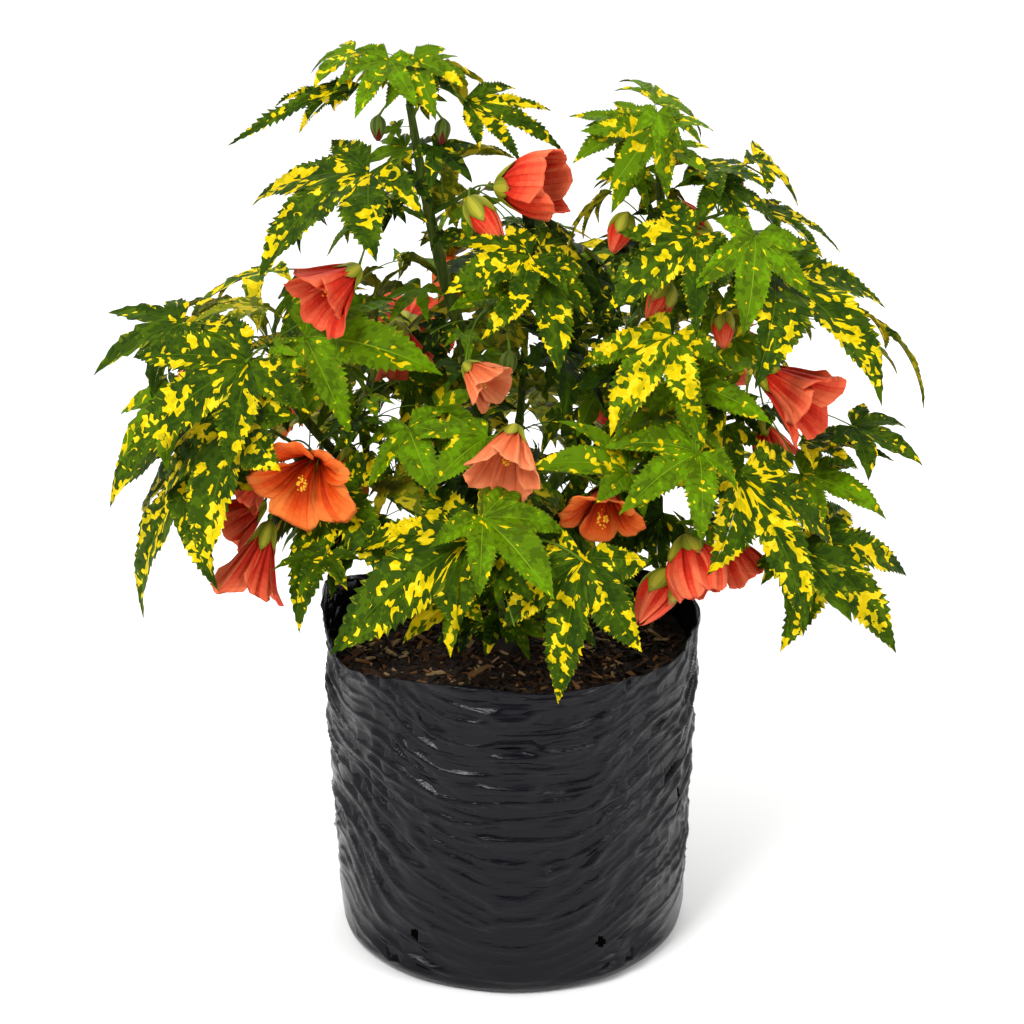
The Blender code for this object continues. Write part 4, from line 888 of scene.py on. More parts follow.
class Crown:
    """What stands so far, and what grows in each mass."""

    def __init__(self, fixed):
        self.fixed = [tree_of(shape) for shape in fixed]
        self.trees = {name: [] for name in MASSES}
        self.twigs = {}
        self.leaves = []
        self.blooms = []

    def is_free(self, name, shape, own_kinds):
        """Whether a shape crosses no limb, bag or other mass, nor these kinds of its own."""
        tree = tree_of(shape)
        near = list(self.fixed)
        for mass, trees in self.trees.items():
            near += [other for other, kind in trees if mass != name or kind in own_kinds]
        return not any(tree.overlap(other) for other in near)

    def add_twig(self, name):
        """The twig of a mass, from its limb's tip or out of its limb's side."""
        plan = MASSES[name]
        places = [point(p) for p in plan["twig"]]
        carrier = limb_path(plan["limb"])
        if not leaves_side(plan):
            ahead = (carrier[-1] - carrier[-2]).normalized()
            places = [carrier[-1] + ahead * run for run in TWIG_LEAD] + places
        path = smooth_path(places, 2)
        radii = [TWIG_RADII[0] + (TWIG_RADII[1] - TWIG_RADII[0]) * i / (len(path) - 1)
                 for i in range(len(path))]
        self.twigs[name] = path
        self.trees[name].append((tree_of(low_tube(path, radii, TWIG_SIDES)), "twig"))

    def root_for(self, name, place):
        """The twig's nearest point to a place, past the twig's bare foot."""
        path = self.twigs[name]
        bare = [p for p in path if (p - path[0]).length > ROOT_CLEARANCE]
        return min(bare, key=lambda p: (p - place).length)

    def add(self, name, head, stalk):
        """Whether a blade or bloom and its stalk cross nothing that stands; if so they stand too."""
        if not self.is_free(name, head, ("head", "stalk", "twig")):
            return False
        if not self.is_free(name, stalk, ("head",)):
            return False
        self.trees[name] += [(tree_of(head), "head"), (tree_of(stalk), "stalk")]
        return True

    def add_leaf(self, name, base, tip, roll, look, full):
        """A leaf on the nearest point of the twig, if it finds room."""
        root = self.root_for(name, base)
        blade = blade_shape(base, tip, roll, full)
        found = self.add(name, blade, leaf_stalk(root, blade, base, tip))
        if found:
            self.leaves.append((name, root, base, tip, roll, look))
        return found

    def place_leaf(self, name, base, tip, roll, look):
        """A leaf at a set place, eased a little where it would cross a neighbour."""
        for out, rise, turn in EASE:
            lift = eased(base, out, rise)
            if self.add_leaf(name, base + lift, tip + lift, roll + turn, look, True):
                return

    def place_bloom(self, name, kind, foot, mouth):
        """A bloom with its stalk, eased as a leaf is."""
        root = self.root_for(name, foot)
        for out, rise, _ in EASE:
            lift = eased(foot, out, rise)
            bloom = bloom_shape(kind, foot + lift, mouth + lift)
            ring = bloom[0][:PETALS]
            axis = (mouth - foot).normalized()
            pedicel = stalk_shape(root, foot + lift - axis * NECK, PEDICEL_RADIUS, ring,
                                  ring[0] - sum(ring, Vector()) / PETALS)
            if self.add(name, bloom, pedicel):
                self.blooms.append((name, kind, root, foot + lift, mouth + lift))
                return

    def fill(self, name, seed):
        """Leaves by rule: one after another up the twig, a golden angle apart, each with its
        seeded lean and length. One that would leave the mass's space or cross anything is
        tried again, and skipped in the end."""
        plan = MASSES[name]
        count, size = plan["fill"]
        centre, reach = point(plan["space"][0]), plan["space"][1] * MM
        chance = random.Random(seed)
        path = self.twigs[name]
        start = chance.uniform(0, 2 * math.pi)
        for k in range(count):
            share = (k + 0.5) / count
            root = path[int(share * (len(path) - 1) + 0.5)]
            for _ in range(TRIES):
                heading = start + k * GOLDEN_ANGLE + chance.gauss(0, HEADING_SPREAD)
                way = Vector((math.cos(heading), math.sin(heading), chance.uniform(*STALK_RISE)))
                base = root + way.normalized() * size * MM * chance.uniform(*STALK_SHARE)
                lean = heading + chance.gauss(0, LEAN_SPREAD)
                droop = Vector((math.cos(lean), math.sin(lean), -chance.uniform(*TIP_DROOP)))
                length = size * MM * chance.uniform(*BLADE_SHARE) * (1.1 - TOP_SHRINK * share)
                tip = base + droop.normalized() * length
                roll = chance.gauss(0, ROLL_SPREAD)
                inside = all((place - centre).length < reach for place in (base, tip))
                if inside and self.add_leaf(name, base, tip, roll, None, False):
                    break


def leaves_side(plan):
    """Whether a mass's twig leaves its limb's side, and not its tip."""
    start = point(plan["twig"][0])
    path = limb_path(plan["limb"])
    return min(path, key=lambda p: (p - start).length) != path[-1]


crown = Crown([([v.co for v in node.data.vertices], [tuple(p.vertices) for p in node.data.polygons])
               for node in (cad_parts["grow_bag"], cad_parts["potting_mix"])]
              + [limb_shape(name, GAP) for name in LIMBS])
for mass in MASSES:
    crown.add_twig(mass)
for mass, plan in MASSES.items():
    for base, tip, roll, look in plan["leaves"]:
        crown.place_leaf(mass, point(base), point(tip), roll, look)
    for kind, foot, mouth in plan["blooms"]:
        crown.place_bloom(mass, kind, point(foot), point(mouth))
for seed, mass in enumerate(MASSES):
    crown.fill(mass, seed)

# ---- Twigs and stalks ---------------------------------------------------------------------
# Green twigs ribbed and ringed with a small swelling every 19 mm, and round leaf stalks that thicken
# at both ends, arch up from the twig and bend over into the blade. Sprigs of young leaves stand at the nodes
# of limbs and twigs alike, wherever they cross nothing.

STALK_STEPS = 11
NODE_RUN = 11 * MM
SPRIGS_A_NODE = 3
SPRIG_LEAVES = 230
SPRIG_FLOOR = 0.186
SPRIG_STALK = (6, 20)
SPRIG_BLADE = (13, 30)
SPRIG_ROLL = 18
TWIG_ROUND_SIDES = 8
STALK_ROUND_SIDES = 6
FULL_LEAF = 0.07


def young_sprigs(count, seed):
    """Young leaves as (mass, root, stalk end, tip, roll), three at a node, each a golden angle on from
    the last, on limbs past their bare foot and on twigs. One that would cross anything is left out."""
    chance = random.Random(seed)
    carriers = [(name, limb_path(name, 6)) for name in LIMBS]
    carriers += [(name, smooth_path(path, 3)) for name, path in crown.twigs.items()]
    home = {plan["limb"]: name for name, plan in MASSES.items()}
    found = []
    for name, path in carriers:
        run, turn = 0.0, chance.uniform(0, 2 * math.pi)
        for before, after in zip(path, path[1:]):
            run += (after - before).length
            if run < NODE_RUN or after.z < SPRIG_FLOOR:
                continue
            run = 0.0
            for _ in range(SPRIGS_A_NODE):
                turn += GOLDEN_ANGLE
                way = Vector((math.cos(turn), math.sin(turn), chance.uniform(-0.2, 0.8))).normalized()
                base = after + way * chance.uniform(*SPRIG_STALK) * MM
                lean = turn + chance.gauss(0, 0.4)
                droop = Vector((math.cos(lean), math.sin(lean), chance.uniform(-1.1, 0.15))).normalized()
                tip = base + droop * chance.uniform(*SPRIG_BLADE) * MM
                roll = chance.gauss(0, SPRIG_ROLL)
                mass = name if name in MASSES else home.get(name, "leader_crown")
                if crown.is_free("", blade_shape(base, tip, roll, False), ()):
                    found.append((mass, after, base, tip, roll))
    chance.shuffle(found)
    return found[:count]


def stalk_lines(roots, ends, heads):
    """Lines from roots (n, 3) to ends (n, 3), arched as the solids' are: a quadratic through a raised
    middle, leaving for the head's direction over its last sixth."""
    t = np.linspace(0, 1, STALK_STEPS)[None, :, None]
    reach = np.linalg.norm(ends - roots, axis=1)[:, None]
    lift = np.concatenate([0 * reach, 0 * reach, STALK_LIFT * reach], axis=1)
    bend = (roots + ends) / 2 + 2 * lift - 0.10 * reach * heads
    return (1 - t) ** 2 * roots[:, None] + 2 * t * (1 - t) * bend[:, None] + t ** 2 * ends[:, None]


def arrays_of(vectors):
    """Vectors as an (n, 3) array."""
    return np.array([tuple(v) for v in vectors])


# Stalks and young twigs: smooth green skin with a faint, broad sheen
green_skin, _, _ = new_finish("green_stalk_skin", {
    "Base Color": tone("56700E"), "Roughness": 0.55, "Specular IOR Level": 0.15})
young_skin, _, _ = new_finish("young_twig_skin", {
    "Base Color": tone("3A5208"), "Roughness": 0.6, "Specular IOR Level": 0.12})
twig_shapes = []
for mass, plan in MASSES.items():
    line = crown.twigs[mass]
    carrier = limb_path(plan["limb"])
    if not leaves_side(plan):
        line = [carrier[-2] * 0.3 + carrier[-1] * 0.7] + line
    fine = np.array(smooth_path(line, 6))
    radii = np.linspace(TWIG_RADII[0], TWIG_RADII[1] * 0.8, len(fine))
    twig_shapes.append(tubes(fine[None], radii[None], TWIG_ROUND_SIDES, young_bark))
twig_points, twig_faces = joined(twig_shapes)
twigs = new_piece("twigs", twig_points, twig_faces, [young_skin])
sprigs = young_sprigs(SPRIG_LEAVES, 5)
roots, bases, tips = (arrays_of([leaf[i] for leaf in crown.leaves + sprigs]) for i in (1, 2, 3))
midribs = (tips - bases) / np.linalg.norm(tips - bases, axis=1, keepdims=True)
lines = stalk_lines(roots, bases + midribs * 0.002, midribs)
size_share = np.clip(np.linalg.norm(tips - bases, axis=1) / FULL_LEAF, 0.36, 1.1)[:, None]
along = np.linspace(0, 1, STALK_STEPS)[None, :]
swellings = 0.00030 * np.exp(-along / 0.08) + 0.00022 * np.exp(-(1 - along) / 0.06)
stalk_radii = size_share * (0.00062 + swellings)
leaf_stalks = new_piece("leaf_stalks", *tubes(lines, stalk_radii, STALK_ROUND_SIDES), [green_skin])
for made in (twigs, leaf_stalks):
    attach(made, "root")
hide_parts(*MASSES)

# ---- Leaves -------------------------------------------------------------------------------
# Five long-pointed lobes with coarse teeth, sunken veins and puckered tissue between them. The
# yellow is a mosaic bounded by the smallest veins, so it falls in crisp angular patches.

PATCH_MM = 3.7
FRECKLE_MM = 1.8
LOOKS = ("m", "y", "g", "f", "d", "o", "s")
# How much of a leaf of each look is yellow
YELLOW_SHARE = {"m": 0.29, "y": 0.44, "g": 0.20, "f": 0.055, "d": 0.10, "o": 0.24, "s": 0.07}
# Looks of fill leaves by where they stand, and of sprigs. Leaves near the axis and sprigs are dealt the dark
# looks d and s often, as painted shade inside the crown; s is painted shade alone, its greens starting from a
# near-black green.
FILL_LOOKS = {"crown": ("g", "g", "m", "f"), "inner": ("s", "s", "f", "d", "g", "o"),
              "outer": ("m", "m", "y", "g", "d")}
SPRIG_LOOKS = ("s", "g", "d", "s", "f")
# The last tone, a near-black green, is painted shade for leaves inside the crown
LEAF_TONES = (("deep_leaf_green", "203600"), ("dark_leaf_green", "2E4400"), ("leaf_green", "405800"),
              ("mid_leaf_green", "506E00"), ("fresh_leaf_green", "5C8400"), ("lime_edge", "8A9600"),
              ("mosaic_yellow", "D0B400"), ("mosaic_lemon", "DCC41C"), ("vein_green", "708E14"),
              ("under_green", "525E08"), ("under_olive", "747A0E"), ("under_yellow", "B0A01A"),
              ("mosaic_gold", "B0A000"), ("painted_shade_leaf_green", "101E00"))
# The greens of each look, dark to fresh, by their place in the tones
LOOK_GREENS = {"m": (0, 1, 2), "y": (1, 2, 3), "g": (2, 3, 3), "f": (2, 3, 4), "d": (0, 1, 2),
               "o": (9, 10, 10), "s": (13, 0, 1)}
# Some set leaves by their order: the share that their lobes' spread keeps, then each lobe's length
LEAF_HABITS = {0: (0.25, 0.6, 0.7, 1, 0.7, 0.6), 6: (0.50, 1, 1, 1, 1, 1), 24: (0.60, 1, 1, 1, 1, 1),
               26: (1, 1, 0.72, 1, 1, 1), 27: (0.45, 1, 1, 1, 1, 1), 28: (0.35, 0.5, 0.7, 1, 0.7, 0.5),
               31: (0.65, 1, 1, 1, 1, 1), 33: (1, 0.6, 1, 1, 1, 1), 35: (1, 1, 1, 0.92, 1, 1),
               36: (0.9, 0.6, 0.72, 1, 1, 1), 38: (1, 1, 1, 1, 0.6, 1),
               40: (1, 1, 1, 1, 0.62, 1), 44: (1, 1, 1, 1, 0.60, 0.7),
               45: (0.70, 1, 1, 1, 1, 1)}
# Fill leaves, by their order, that are shed where they would stand before a bloom or the mix
SHED_LEAVES = {0, 10, 12, 14, 21, 22, 23, 25, 35, 51}
NECK_NOTCHES = (0.17, 0.28, 0.36, 0.36, 0.28, 0.17)
RIB_SINK = 0.006
PUCKER = 0.0075
MARGIN_WAVE = 0.014
BLADE_DEPTH = 0.0055
PIECE_LIMIT = 190000
# Grids of a leaf: rows in all, rows up to the notch, columns above, and the columns below
SET_GRID = (46, 7, 8, (0, 0.5, 1))
FILL_GRID = (16, 4, 4, (0, 0.5, 1))
SPRIG_GRID = (9, 3, 2, (0, 1))


def blade_grid(rows, heart_rows, columns, under):
    """One leaf as ten half lobes, each a grid from rib to margin. Rows run from the stalk to the
    lobe's tip, and the first few reach the notch. "under" lists the columns of the underside,
    which shares the margin. Returns each point's half lobe, row, column, sheet, and the faces."""
    points, faces, start = [], [], 0
    for half in range(10):
        for sheet, cols in ((1, np.r_[0, np.linspace(0.035, 1, columns)]), (-1, np.array(under))):
            i, v = np.meshgrid(np.arange(rows + 1), cols, indexing="ij")
            edge = np.where(half in (0, 9), i > 0, i >= heart_rows) & (v > 0.999)
            points.append(np.stack([0 * i + half, i, v, np.where(edge, 0, sheet)], axis=2).reshape(-1, 4))
            a = (np.arange(rows)[:, None] * len(cols) + np.arange(len(cols) - 1)[None, :]).ravel() + start
            b = a + len(cols)
            quads = np.stack([a, b, b + 1, a + 1], axis=1)
            if (half % 2 == 0) == (sheet > 0):
                quads = quads[:, ::-1]
            faces.append(np.vstack([quads[:, [0, 1, 2]], quads[:, [0, 2, 3]]]))
            start += i.size
    return np.vstack(points), np.vstack(faces)


def flat_blade(grid, rows, heart_rows, angles, reaches, notch_angles, notch_reaches, teeth):
    """Flat places (n, p, 2) of leaves of length 1, and each point's place in its own lobe. From its
    narrow neck a lobe swells and tapers as (1 - t)^1.2 (1 + 2 r t), r its reach, with forward
    teeth every third row, no two alike."""
    half, i, v = grid[:, 0].astype(int), grid[:, 1], grid[:, 2]
    lobe, side = half // 2, np.where(half % 2 == 0, -1, 1)
    notch = lobe + half % 2
    middle, reach = angles[:, lobe], reaches[:, lobe]
    away = np.radians(np.abs(notch_angles[:, notch] - middle))
    x_notch = notch_reaches[:, notch] * np.cos(away)
    w_notch = notch_reaches[:, notch] * np.sin(away)
    heart = np.clip(i / heart_rows, 0, 1)
    t = np.clip((i - heart_rows) / (rows - heart_rows), 0, 1)
    x_rib = heart * 0.70 * x_notch + (reach - 0.70 * x_notch) * t
    x_edge = heart * x_notch + (reach - x_notch) * t
    width = heart * w_notch * np.where(t > 0, (1 - t) ** 1.2 * (1 + 2.0 * reach * t), 1)
    uneven = 0.75 + 0.3 * np.sin(2.4 * i + 3.1 * lobe)
    tooth = np.where((t > 0) & (t < 1), (i - heart_rows) % 3 / 2, 0) * uneven
    tooth = tooth * teeth[:, None] * (0.35 + 0.65 * reach) * (1 - t ** 3)
    x = (1 - v) * x_rib + v * x_edge + 0.55 * tooth * v ** 5
    y = side * (v * width + tooth * v ** 5)
    turn = np.radians(middle)
    places = np.stack([x * np.cos(turn) - y * np.sin(turn), x * np.sin(turn) + y * np.cos(turn)], axis=2)
    return places, np.stack([x, y], axis=2), t, reach


def mottle(x, y, lobes, marks, looks):
    """How strongly a place on a lobe, in mm, tends to yellow: patches, freckles and slow drifts of
    noise on bent ground; in plainly green leaves freckles alone."""
    x, y = x + marks[:, None] * 91.0 + lobes * 53.0, y + marks[:, None] * 37.0
    bend, sway = 1.1 * swell(x / 3.6, y / 3.6, 0 * x, 26), 1.1 * swell(x / 3.6, y / 3.6, 0 * x, 28)
    fine = swell((x + bend) / FRECKLE_MM, (y + sway) / FRECKLE_MM, 0 * x, 21)
    broad = swell((x + sway) / PATCH_MM, (y - bend) / PATCH_MM, 0 * x, 22)
    slow = swell(x / 14, y / 14, 0 * x, 23)
    spots = swell((x + bend) / 2.6, (y + sway) / 2.6, 0 * x, 24)
    plain = np.isin(looks, [LOOKS.index(look) for look in "fds"])[:, None]
    return np.where(plain, 0.8 * spots + 0.2 * fine, 0.40 * fine + 0.42 * broad + 0.22 * slow)


def leaf_tones(drift, looks, under, rib):
    """The green and the yellow that each face may be dealt, by drifts: one of its look's three
    greens, or of three yellows. Undersides and olive leaves have muted ones."""
    greens = np.array([LOOK_GREENS[look] for look in LOOKS])[looks]
    shade = np.where(drift > 0.38, 2, np.where(drift < -0.34, 0, 1))
    green = np.take_along_axis(greens, shade, axis=1)
    ribs = np.where(np.isin(looks, [LOOKS.index("f"), LOOKS.index("g")])[:, None], 8, greens[:, 2:])
    green = np.where(rib, ribs, green)
    yellow = np.where(drift > 0.25, 7, np.where(drift < -0.35, 12, 6))
    muted = under | (looks[:, None] == LOOKS.index("o"))
    return np.where(muted, np.where(drift > 0, 10, 9), green), np.where(muted, 11, yellow)


def cut_on_borders(points, faces, over, low, high, edge):
    """Cut the triangles that a patch's border crosses, so that patches end crisply: "over" is how far
    each point tops its leaf's level, and the border runs straight between the zeros on two sides.
    Low tones go below it and high ones above. Takes and returns flat arrays, and each face's parent."""
    above = over[faces] > 0
    count = above.sum(axis=1)
    mixed = (count == 1) | (count == 2)
    odd = np.argmax(above[mixed] == (count[mixed] == 1)[:, None], axis=1)
    corners = np.take_along_axis(faces[mixed], (odd[:, None] + np.arange(3)) % 3, axis=1)
    sides = np.sort(np.vstack([corners[:, [0, 1]], corners[:, [0, 2]]]), axis=1).astype(np.int64)
    keys = sides[:, 0] * len(points) + sides[:, 1]
    _, first, place = np.unique(keys, return_index=True, return_inverse=True)
    ends = sides[first]
    share = over[ends[:, 0]] / (over[ends[:, 0]] - over[ends[:, 1]])
    share = np.clip(share, 0.10, 0.90)[:, None]
    new = points[ends[:, 0]] * (1 - share) + points[ends[:, 1]] * share
    place = place.ravel() + len(points)
    left, right = place[:len(corners)], place[len(corners):]
    a, b, c = corners.T
    odd_above = count[mixed] == 1
    parent = np.flatnonzero(mixed)
    faces = np.vstack([faces[~mixed], np.stack([a, left, right], axis=1), np.stack([left, b, c], axis=1),
                       np.stack([left, c, right], axis=1)])
    parents = np.concatenate([np.flatnonzero(~mixed), parent, parent, parent])
    up = np.concatenate([count[~mixed] == 3, odd_above, ~odd_above, ~odd_above])
    return (np.vstack([points, new]), faces, np.where(up, high[parents], low[parents]), parents,
            np.concatenate([edge, edge[ends].all(axis=1)]))


def blades(leaves, grid_plan, seed, habits):
    """Leaves (stalk end, tip, roll, look) as flat arrays: points, triangles, their tones, the leaf of
    each, and which points lie on a margin. "habits" draws in the lobes of some leaves, by a share of
    their angles, then shortens each of the five."""
    rows, heart_rows, columns, under = grid_plan
    grid, faces = blade_grid(*grid_plan)
    chance = np.random.default_rng(seed)
    n = len(leaves)
    habit = np.array([habits.get(k, (1.0,) * 6) for k in range(n)])
    close = habit[:, :1]
    angles = (np.array([a for a, _ in LOBES]) + chance.normal(0, 4.0, (n, 5)) * (1, 1, 0, 1, 1)) * close
    reaches = np.array([r for _, r in LOBES]) * (1 + chance.normal(0, 0.06, (n, 5)) * (1, 1, 0, 1, 1))
    reaches = reaches * habit[:, 1:]
    notch_angles = (np.array([a for a, _ in NOTCHES]) + chance.normal(0, 2.0, (n, 6))) * close
    notch_reaches = np.array(NECK_NOTCHES) * (1 + chance.normal(0, 0.08, (n, 6)))
    teeth = chance.uniform(0.026, 0.040, n)
    plain = (np.array([[a for a, _ in LOBES]]), np.array([[r for _, r in LOBES]]),
             np.array([[a for a, _ in NOTCHES]]), np.array([NECK_NOTCHES]))
    nominal = flat_blade(grid, rows, heart_rows, *plain, np.array([0.02]))[0]
    keys = np.round(np.column_stack([nominal[0] * 1e5, grid[:, 3]]))
    _, kept, merged = np.unique(keys, axis=0, return_index=True, return_inverse=True)
    merged = merged.ravel()
    whole = merged[faces]
    good = (whole[:, 0] != whole[:, 1]) & (whole[:, 1] != whole[:, 2]) & (whole[:, 2] != whole[:, 0])
    faces, source = whole[good], faces[good]
    flat, own, t, _ = flat_blade(grid, rows, heart_rows, angles, reaches, notch_angles, notch_reaches, teeth)
    half, i, v, sheet = grid.T
    lobe = (half // 2).astype(int)
    bases, tips = arrays_of([leaf[0] for leaf in leaves]), arrays_of([leaf[1] for leaf in leaves])
    length = np.linalg.norm(tips - bases, axis=1)
    size = length[:, None] * 1000
    looks = np.array([LOOKS.index(leaf[3]) for leaf in leaves])
    marks = chance.uniform(0, 40, n)
    x_mm, y_mm = own[..., 0] * size, own[..., 1] * size
    value = mottle(x_mm, y_mm, lobe[None], marks, looks)
    shares = np.array([YELLOW_SHARE[look] for look in LOOKS])
    tops = np.array([np.quantile(value[looks == k], 1 - shares[k]) if (looks == k).any() else 1
                     for k in range(len(LOOKS))])
    x, y = flat[..., 0], flat[..., 1]
    away = np.hypot(x, y)
    droop = chance.uniform(0.0, 0.20, (n, 5))[:, lobe]
    hook = chance.uniform(-0.22, 0.22, (n, 5))[:, lobe]
    fold = chance.uniform(0.05, 0.40, (n, 1))
    across = np.abs(own[..., 1])
    inner = np.where(np.isin(half, (0, 9)), 1, np.clip(i / heart_rows, 0, 1) ** 3)
    z = 4 * BLADE_ARCH * away * (1 - away) - BLADE_CUP * y ** 2
    z += (-droop * t ** 2 - hook * np.clip(t - 0.6, 0, 1) ** 2
          + fold * across * np.clip(i / heart_rows, 0, 1) * 0.6)
    z += (-RIB_SINK * np.exp(-(across / 0.014) ** 2)
          - PUCKER * np.cos(2 * np.pi * (i - heart_rows) / 6) * np.sin(np.pi * v))
    wave = chance.uniform(0, 6.28, (n, 10))[:, half.astype(int)]
    z += MARGIN_WAVE * np.sin(wave + t * 15) * v ** 2 * (t > 0) * (1 - t)
    z -= np.where(sheet < 0, BLADE_DEPTH * (1 - v ** 4 * inner) * (i > 0), 0)
    y = y + hook * 0.35 * np.clip(t - 0.5, 0, 1) ** 2 * np.sin(wave[:, :1])
    turns = np.array([blade_frame(leaf[0], leaf[1], leaf[2]) for leaf in leaves])
    local = np.stack([x, y, z], axis=2)[:, kept] * length[:, None, None]
    points = bases[:, None, :] + np.einsum("nij,npj->npi", turns, local)
    centre = own[:, source].mean(axis=2) * size[..., None]
    face_lobe = lobe[source[:, 0]][None, :]
    drift = swell(centre[..., 0] / 7 + marks[:, None], centre[..., 1] / 4, face_lobe * 9.0, 27)
    speckle = swell(centre[..., 0] / 1.6 + marks[:, None], centre[..., 1] / 1.6, face_lobe * 5.0, 29)
    drift = 0.75 * drift + 0.6 * speckle
    under_faces = np.broadcast_to(sheet[source].min(axis=1) < 0, (n, len(source)))
    rib = np.broadcast_to(v[source].max(axis=1) < 0.04, (n, len(source)))
    low, high = leaf_tones(drift, looks, under_faces, rib)
    starts = np.arange(n)[:, None, None] * len(kept)
    cut = cut_on_borders(points.reshape(-1, 3), (faces[None] + starts).reshape(-1, 3),
                         (value - tops[looks][:, None])[:, kept].ravel(), low.ravel(), high.ravel(),
                         np.tile((sheet == 0)[kept], n))
    return cut[0], cut[1], cut[2], cut[3] // len(faces), cut[4]


leaf_chance = random.Random(77)
set_leaves, fill_leaves = [], []
for mass, root, base, tip, roll, look in crown.leaves:
    if look is None:
        # Leaves near the axis take the inner looks, darker as painted shade
        place_kind = "crown" if "crown" in mass else "inner" if (base.xy.length < 0.1) else "outer"
        fill_leaves.append((mass, (base, tip, roll, leaf_chance.choice(FILL_LOOKS[place_kind]))))
    else:
        set_leaves.append((mass, (base, tip, roll, look)))
sprig_leaves = [(mass, (base, tip, roll, leaf_chance.choice(SPRIG_LOOKS)))
                for mass, root, base, tip, roll in sprigs]
# Leaves: soft, slightly downy blades without a gloss, each face of one clear green or yellow
leaf_finishes = [new_finish(name, {"Base Color": tone(code), "Roughness": 0.6, "Specular IOR Level": 0.06})[0]
                 for name, code in LEAF_TONES]
piece_count = 0
fill_leaves = [leaf for k, leaf in enumerate(fill_leaves) if k not in SHED_LEAVES]
for chosen, grid_plan, grid_seed, habits in ((set_leaves, SET_GRID, 31, LEAF_HABITS),
                                             (fill_leaves, FILL_GRID, 32, {}),
                                             (sprig_leaves, SPRIG_GRID, 33, {})):
    points, faces, tones, owners, edge = blades([leaf for _, leaf in chosen], grid_plan, grid_seed, habits)
    batch = np.cumsum(np.bincount(owners, minlength=len(chosen))) // PIECE_LIMIT
    for nth in range(batch[-1] + 1):
        own_faces = batch[owners] == nth
        used, renumbered = np.unique(faces[own_faces], return_inverse=True)
        piece_count += 1
        made = new_piece(f"leaves_{piece_count}", points[used], renumbered.reshape(-1, 3), leaf_finishes,
                         tones[own_faces], edge[used])
        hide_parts(*sorted({mass for k, (mass, _) in enumerate(chosen) if batch[k] == nth}))
        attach(made, "root")

# ---- Blooms -------------------------------------------------------------------------------
# Hanging bells of five overlapping papery petals with fine darker veins, held in an olive
# calyx of five pointed sepals on a thin stalk. Open ones show a column of yellow stamens.

PETAL_ROWS = 15
PETAL_VEINS = 9
PETAL_STEPS = 12
PETAL_FAMILIES = {"coral": ("8E1406", "C62A16", "E87048"), "orange": ("8E1400", "CE4408", "E47A34"),
                  "salmon": ("B0421C", "D8683C", "E48E5E"), "maroon": ("300C10", "4E1414", "742420")}
# Some blooms by their order on the plant: petal colours, how full the bell is, and its flare's share
BLOOM_HABITS = {2: ("coral", 1.0, 1.10), 3: ("coral", 2.5, 0.97), 4: ("coral", 1.0, 0.82),
                5: ("salmon", 1.3, 1.2), 7: ("coral", 2.6, 0.9), 8: ("coral", 2.6, 0.9),
                13: ("coral", 1.0, 0.96), 14: ("coral", 2.0, 0.9), 15: ("coral", 3.2, 1.0),
                16: ("coral", 2.0, 0.9), 18: ("orange", 1.0, 0.86), 19: ("salmon", 1.2, 1.1),
                20: ("orange", 1.0, 0.84), 21: ("coral", 2.0, 1.0), 22: ("coral", 1.6, 1.0),
                23: ("coral", 0.85, 0.90), 24: ("coral", 1.4, 1.0), 25: ("orange", 1.4, 1.0)}
# Blooms drawn shorter than their solid, as a share of its length
SHORT_BLOOMS = {2: 0.86, 3: 0.86}
# One bloom of right_back is shed, which would show between the outer leaves of the right side
SHED_BLOOMS = {27}
BLOOMS_A_PIECE = 18
COLUMN_RADII = (0.0015, 0.0012, 0.0011, 0.0009)
COLUMN_TONE = PETAL_STEPS + 4
GRAINS = 34
CALYX_TONES = (("calyx_olive", "84861A"), ("calyx_yellow_green", "A09A26"), ("calyx_rib", "70760F"),
               ("calyx_flush", "9C6E2A"), ("calyx_green", "55661A"), ("calyx_green_rib", "38480E"))
GREEN_BUD_LENGTH = 0.0165


def bloom_axes(feet, mouths, spins):
    """Length and the axes of each bloom: down its throat, then two across, turned by its spin."""
    axis = mouths - feet
    length = np.linalg.norm(axis, axis=1)
    axis = axis / length[:, None]
    pick = np.where(np.abs(axis[:, 2:3]) < 0.85, np.array([[0.0, 0, 1]]), np.array([[1.0, 0, 0]]))
    side = np.cross(pick, axis)
    side /= np.linalg.norm(side, axis=1, keepdims=True)
    other = np.cross(axis, side)
    c, s = np.cos(spins)[:, None], np.sin(spins)[:, None]
    return length, axis, c * side + s * other, c * other - s * side


def flared(u, flare, shape, full):
    """Radius down a bloom of length 1: 0.07 at the foot, out to the flare as 1 - (1 - u)^full in a
    bell, as u^0.85 when open, and out and in again as a bud."""
    bell = 0.07 + (flare - 0.07) * (1 - (1 - u) ** full)
    wide = 0.07 + (flare - 0.07) * u ** 0.85
    shut = 0.05 + 0.95 * flare * np.sin(np.pi * np.clip(u, 0, 1) ** 0.8) ** 0.9
    return np.select([shape == 0, shape == 1], [bell, wide], shut)


def sheet_faces(rows, cols):
    """Faces of one petal or sepal of two skins, each a grid of (rows, cols) points: the first skin
    faces out, the second in, and strips close their edges."""
    a = (np.arange(rows - 1)[:, None] * cols + np.arange(cols - 1)[None, :]).ravel()
    outer = np.stack([a, a + 1, a + cols + 1, a + cols], axis=1)
    inner = outer[:, ::-1] + rows * cols
    rim = np.concatenate([np.arange(cols), np.arange(1, rows) * cols + cols - 1,
                          np.arange(cols - 2, -1, -1) + (rows - 1) * cols, np.arange(rows - 2, 0, -1) * cols])
    after = np.roll(rim, -1)
    strip = np.stack([rim, rim + rows * cols, after + rows * cols, after], axis=1)
    return np.vstack([outer, inner, strip])


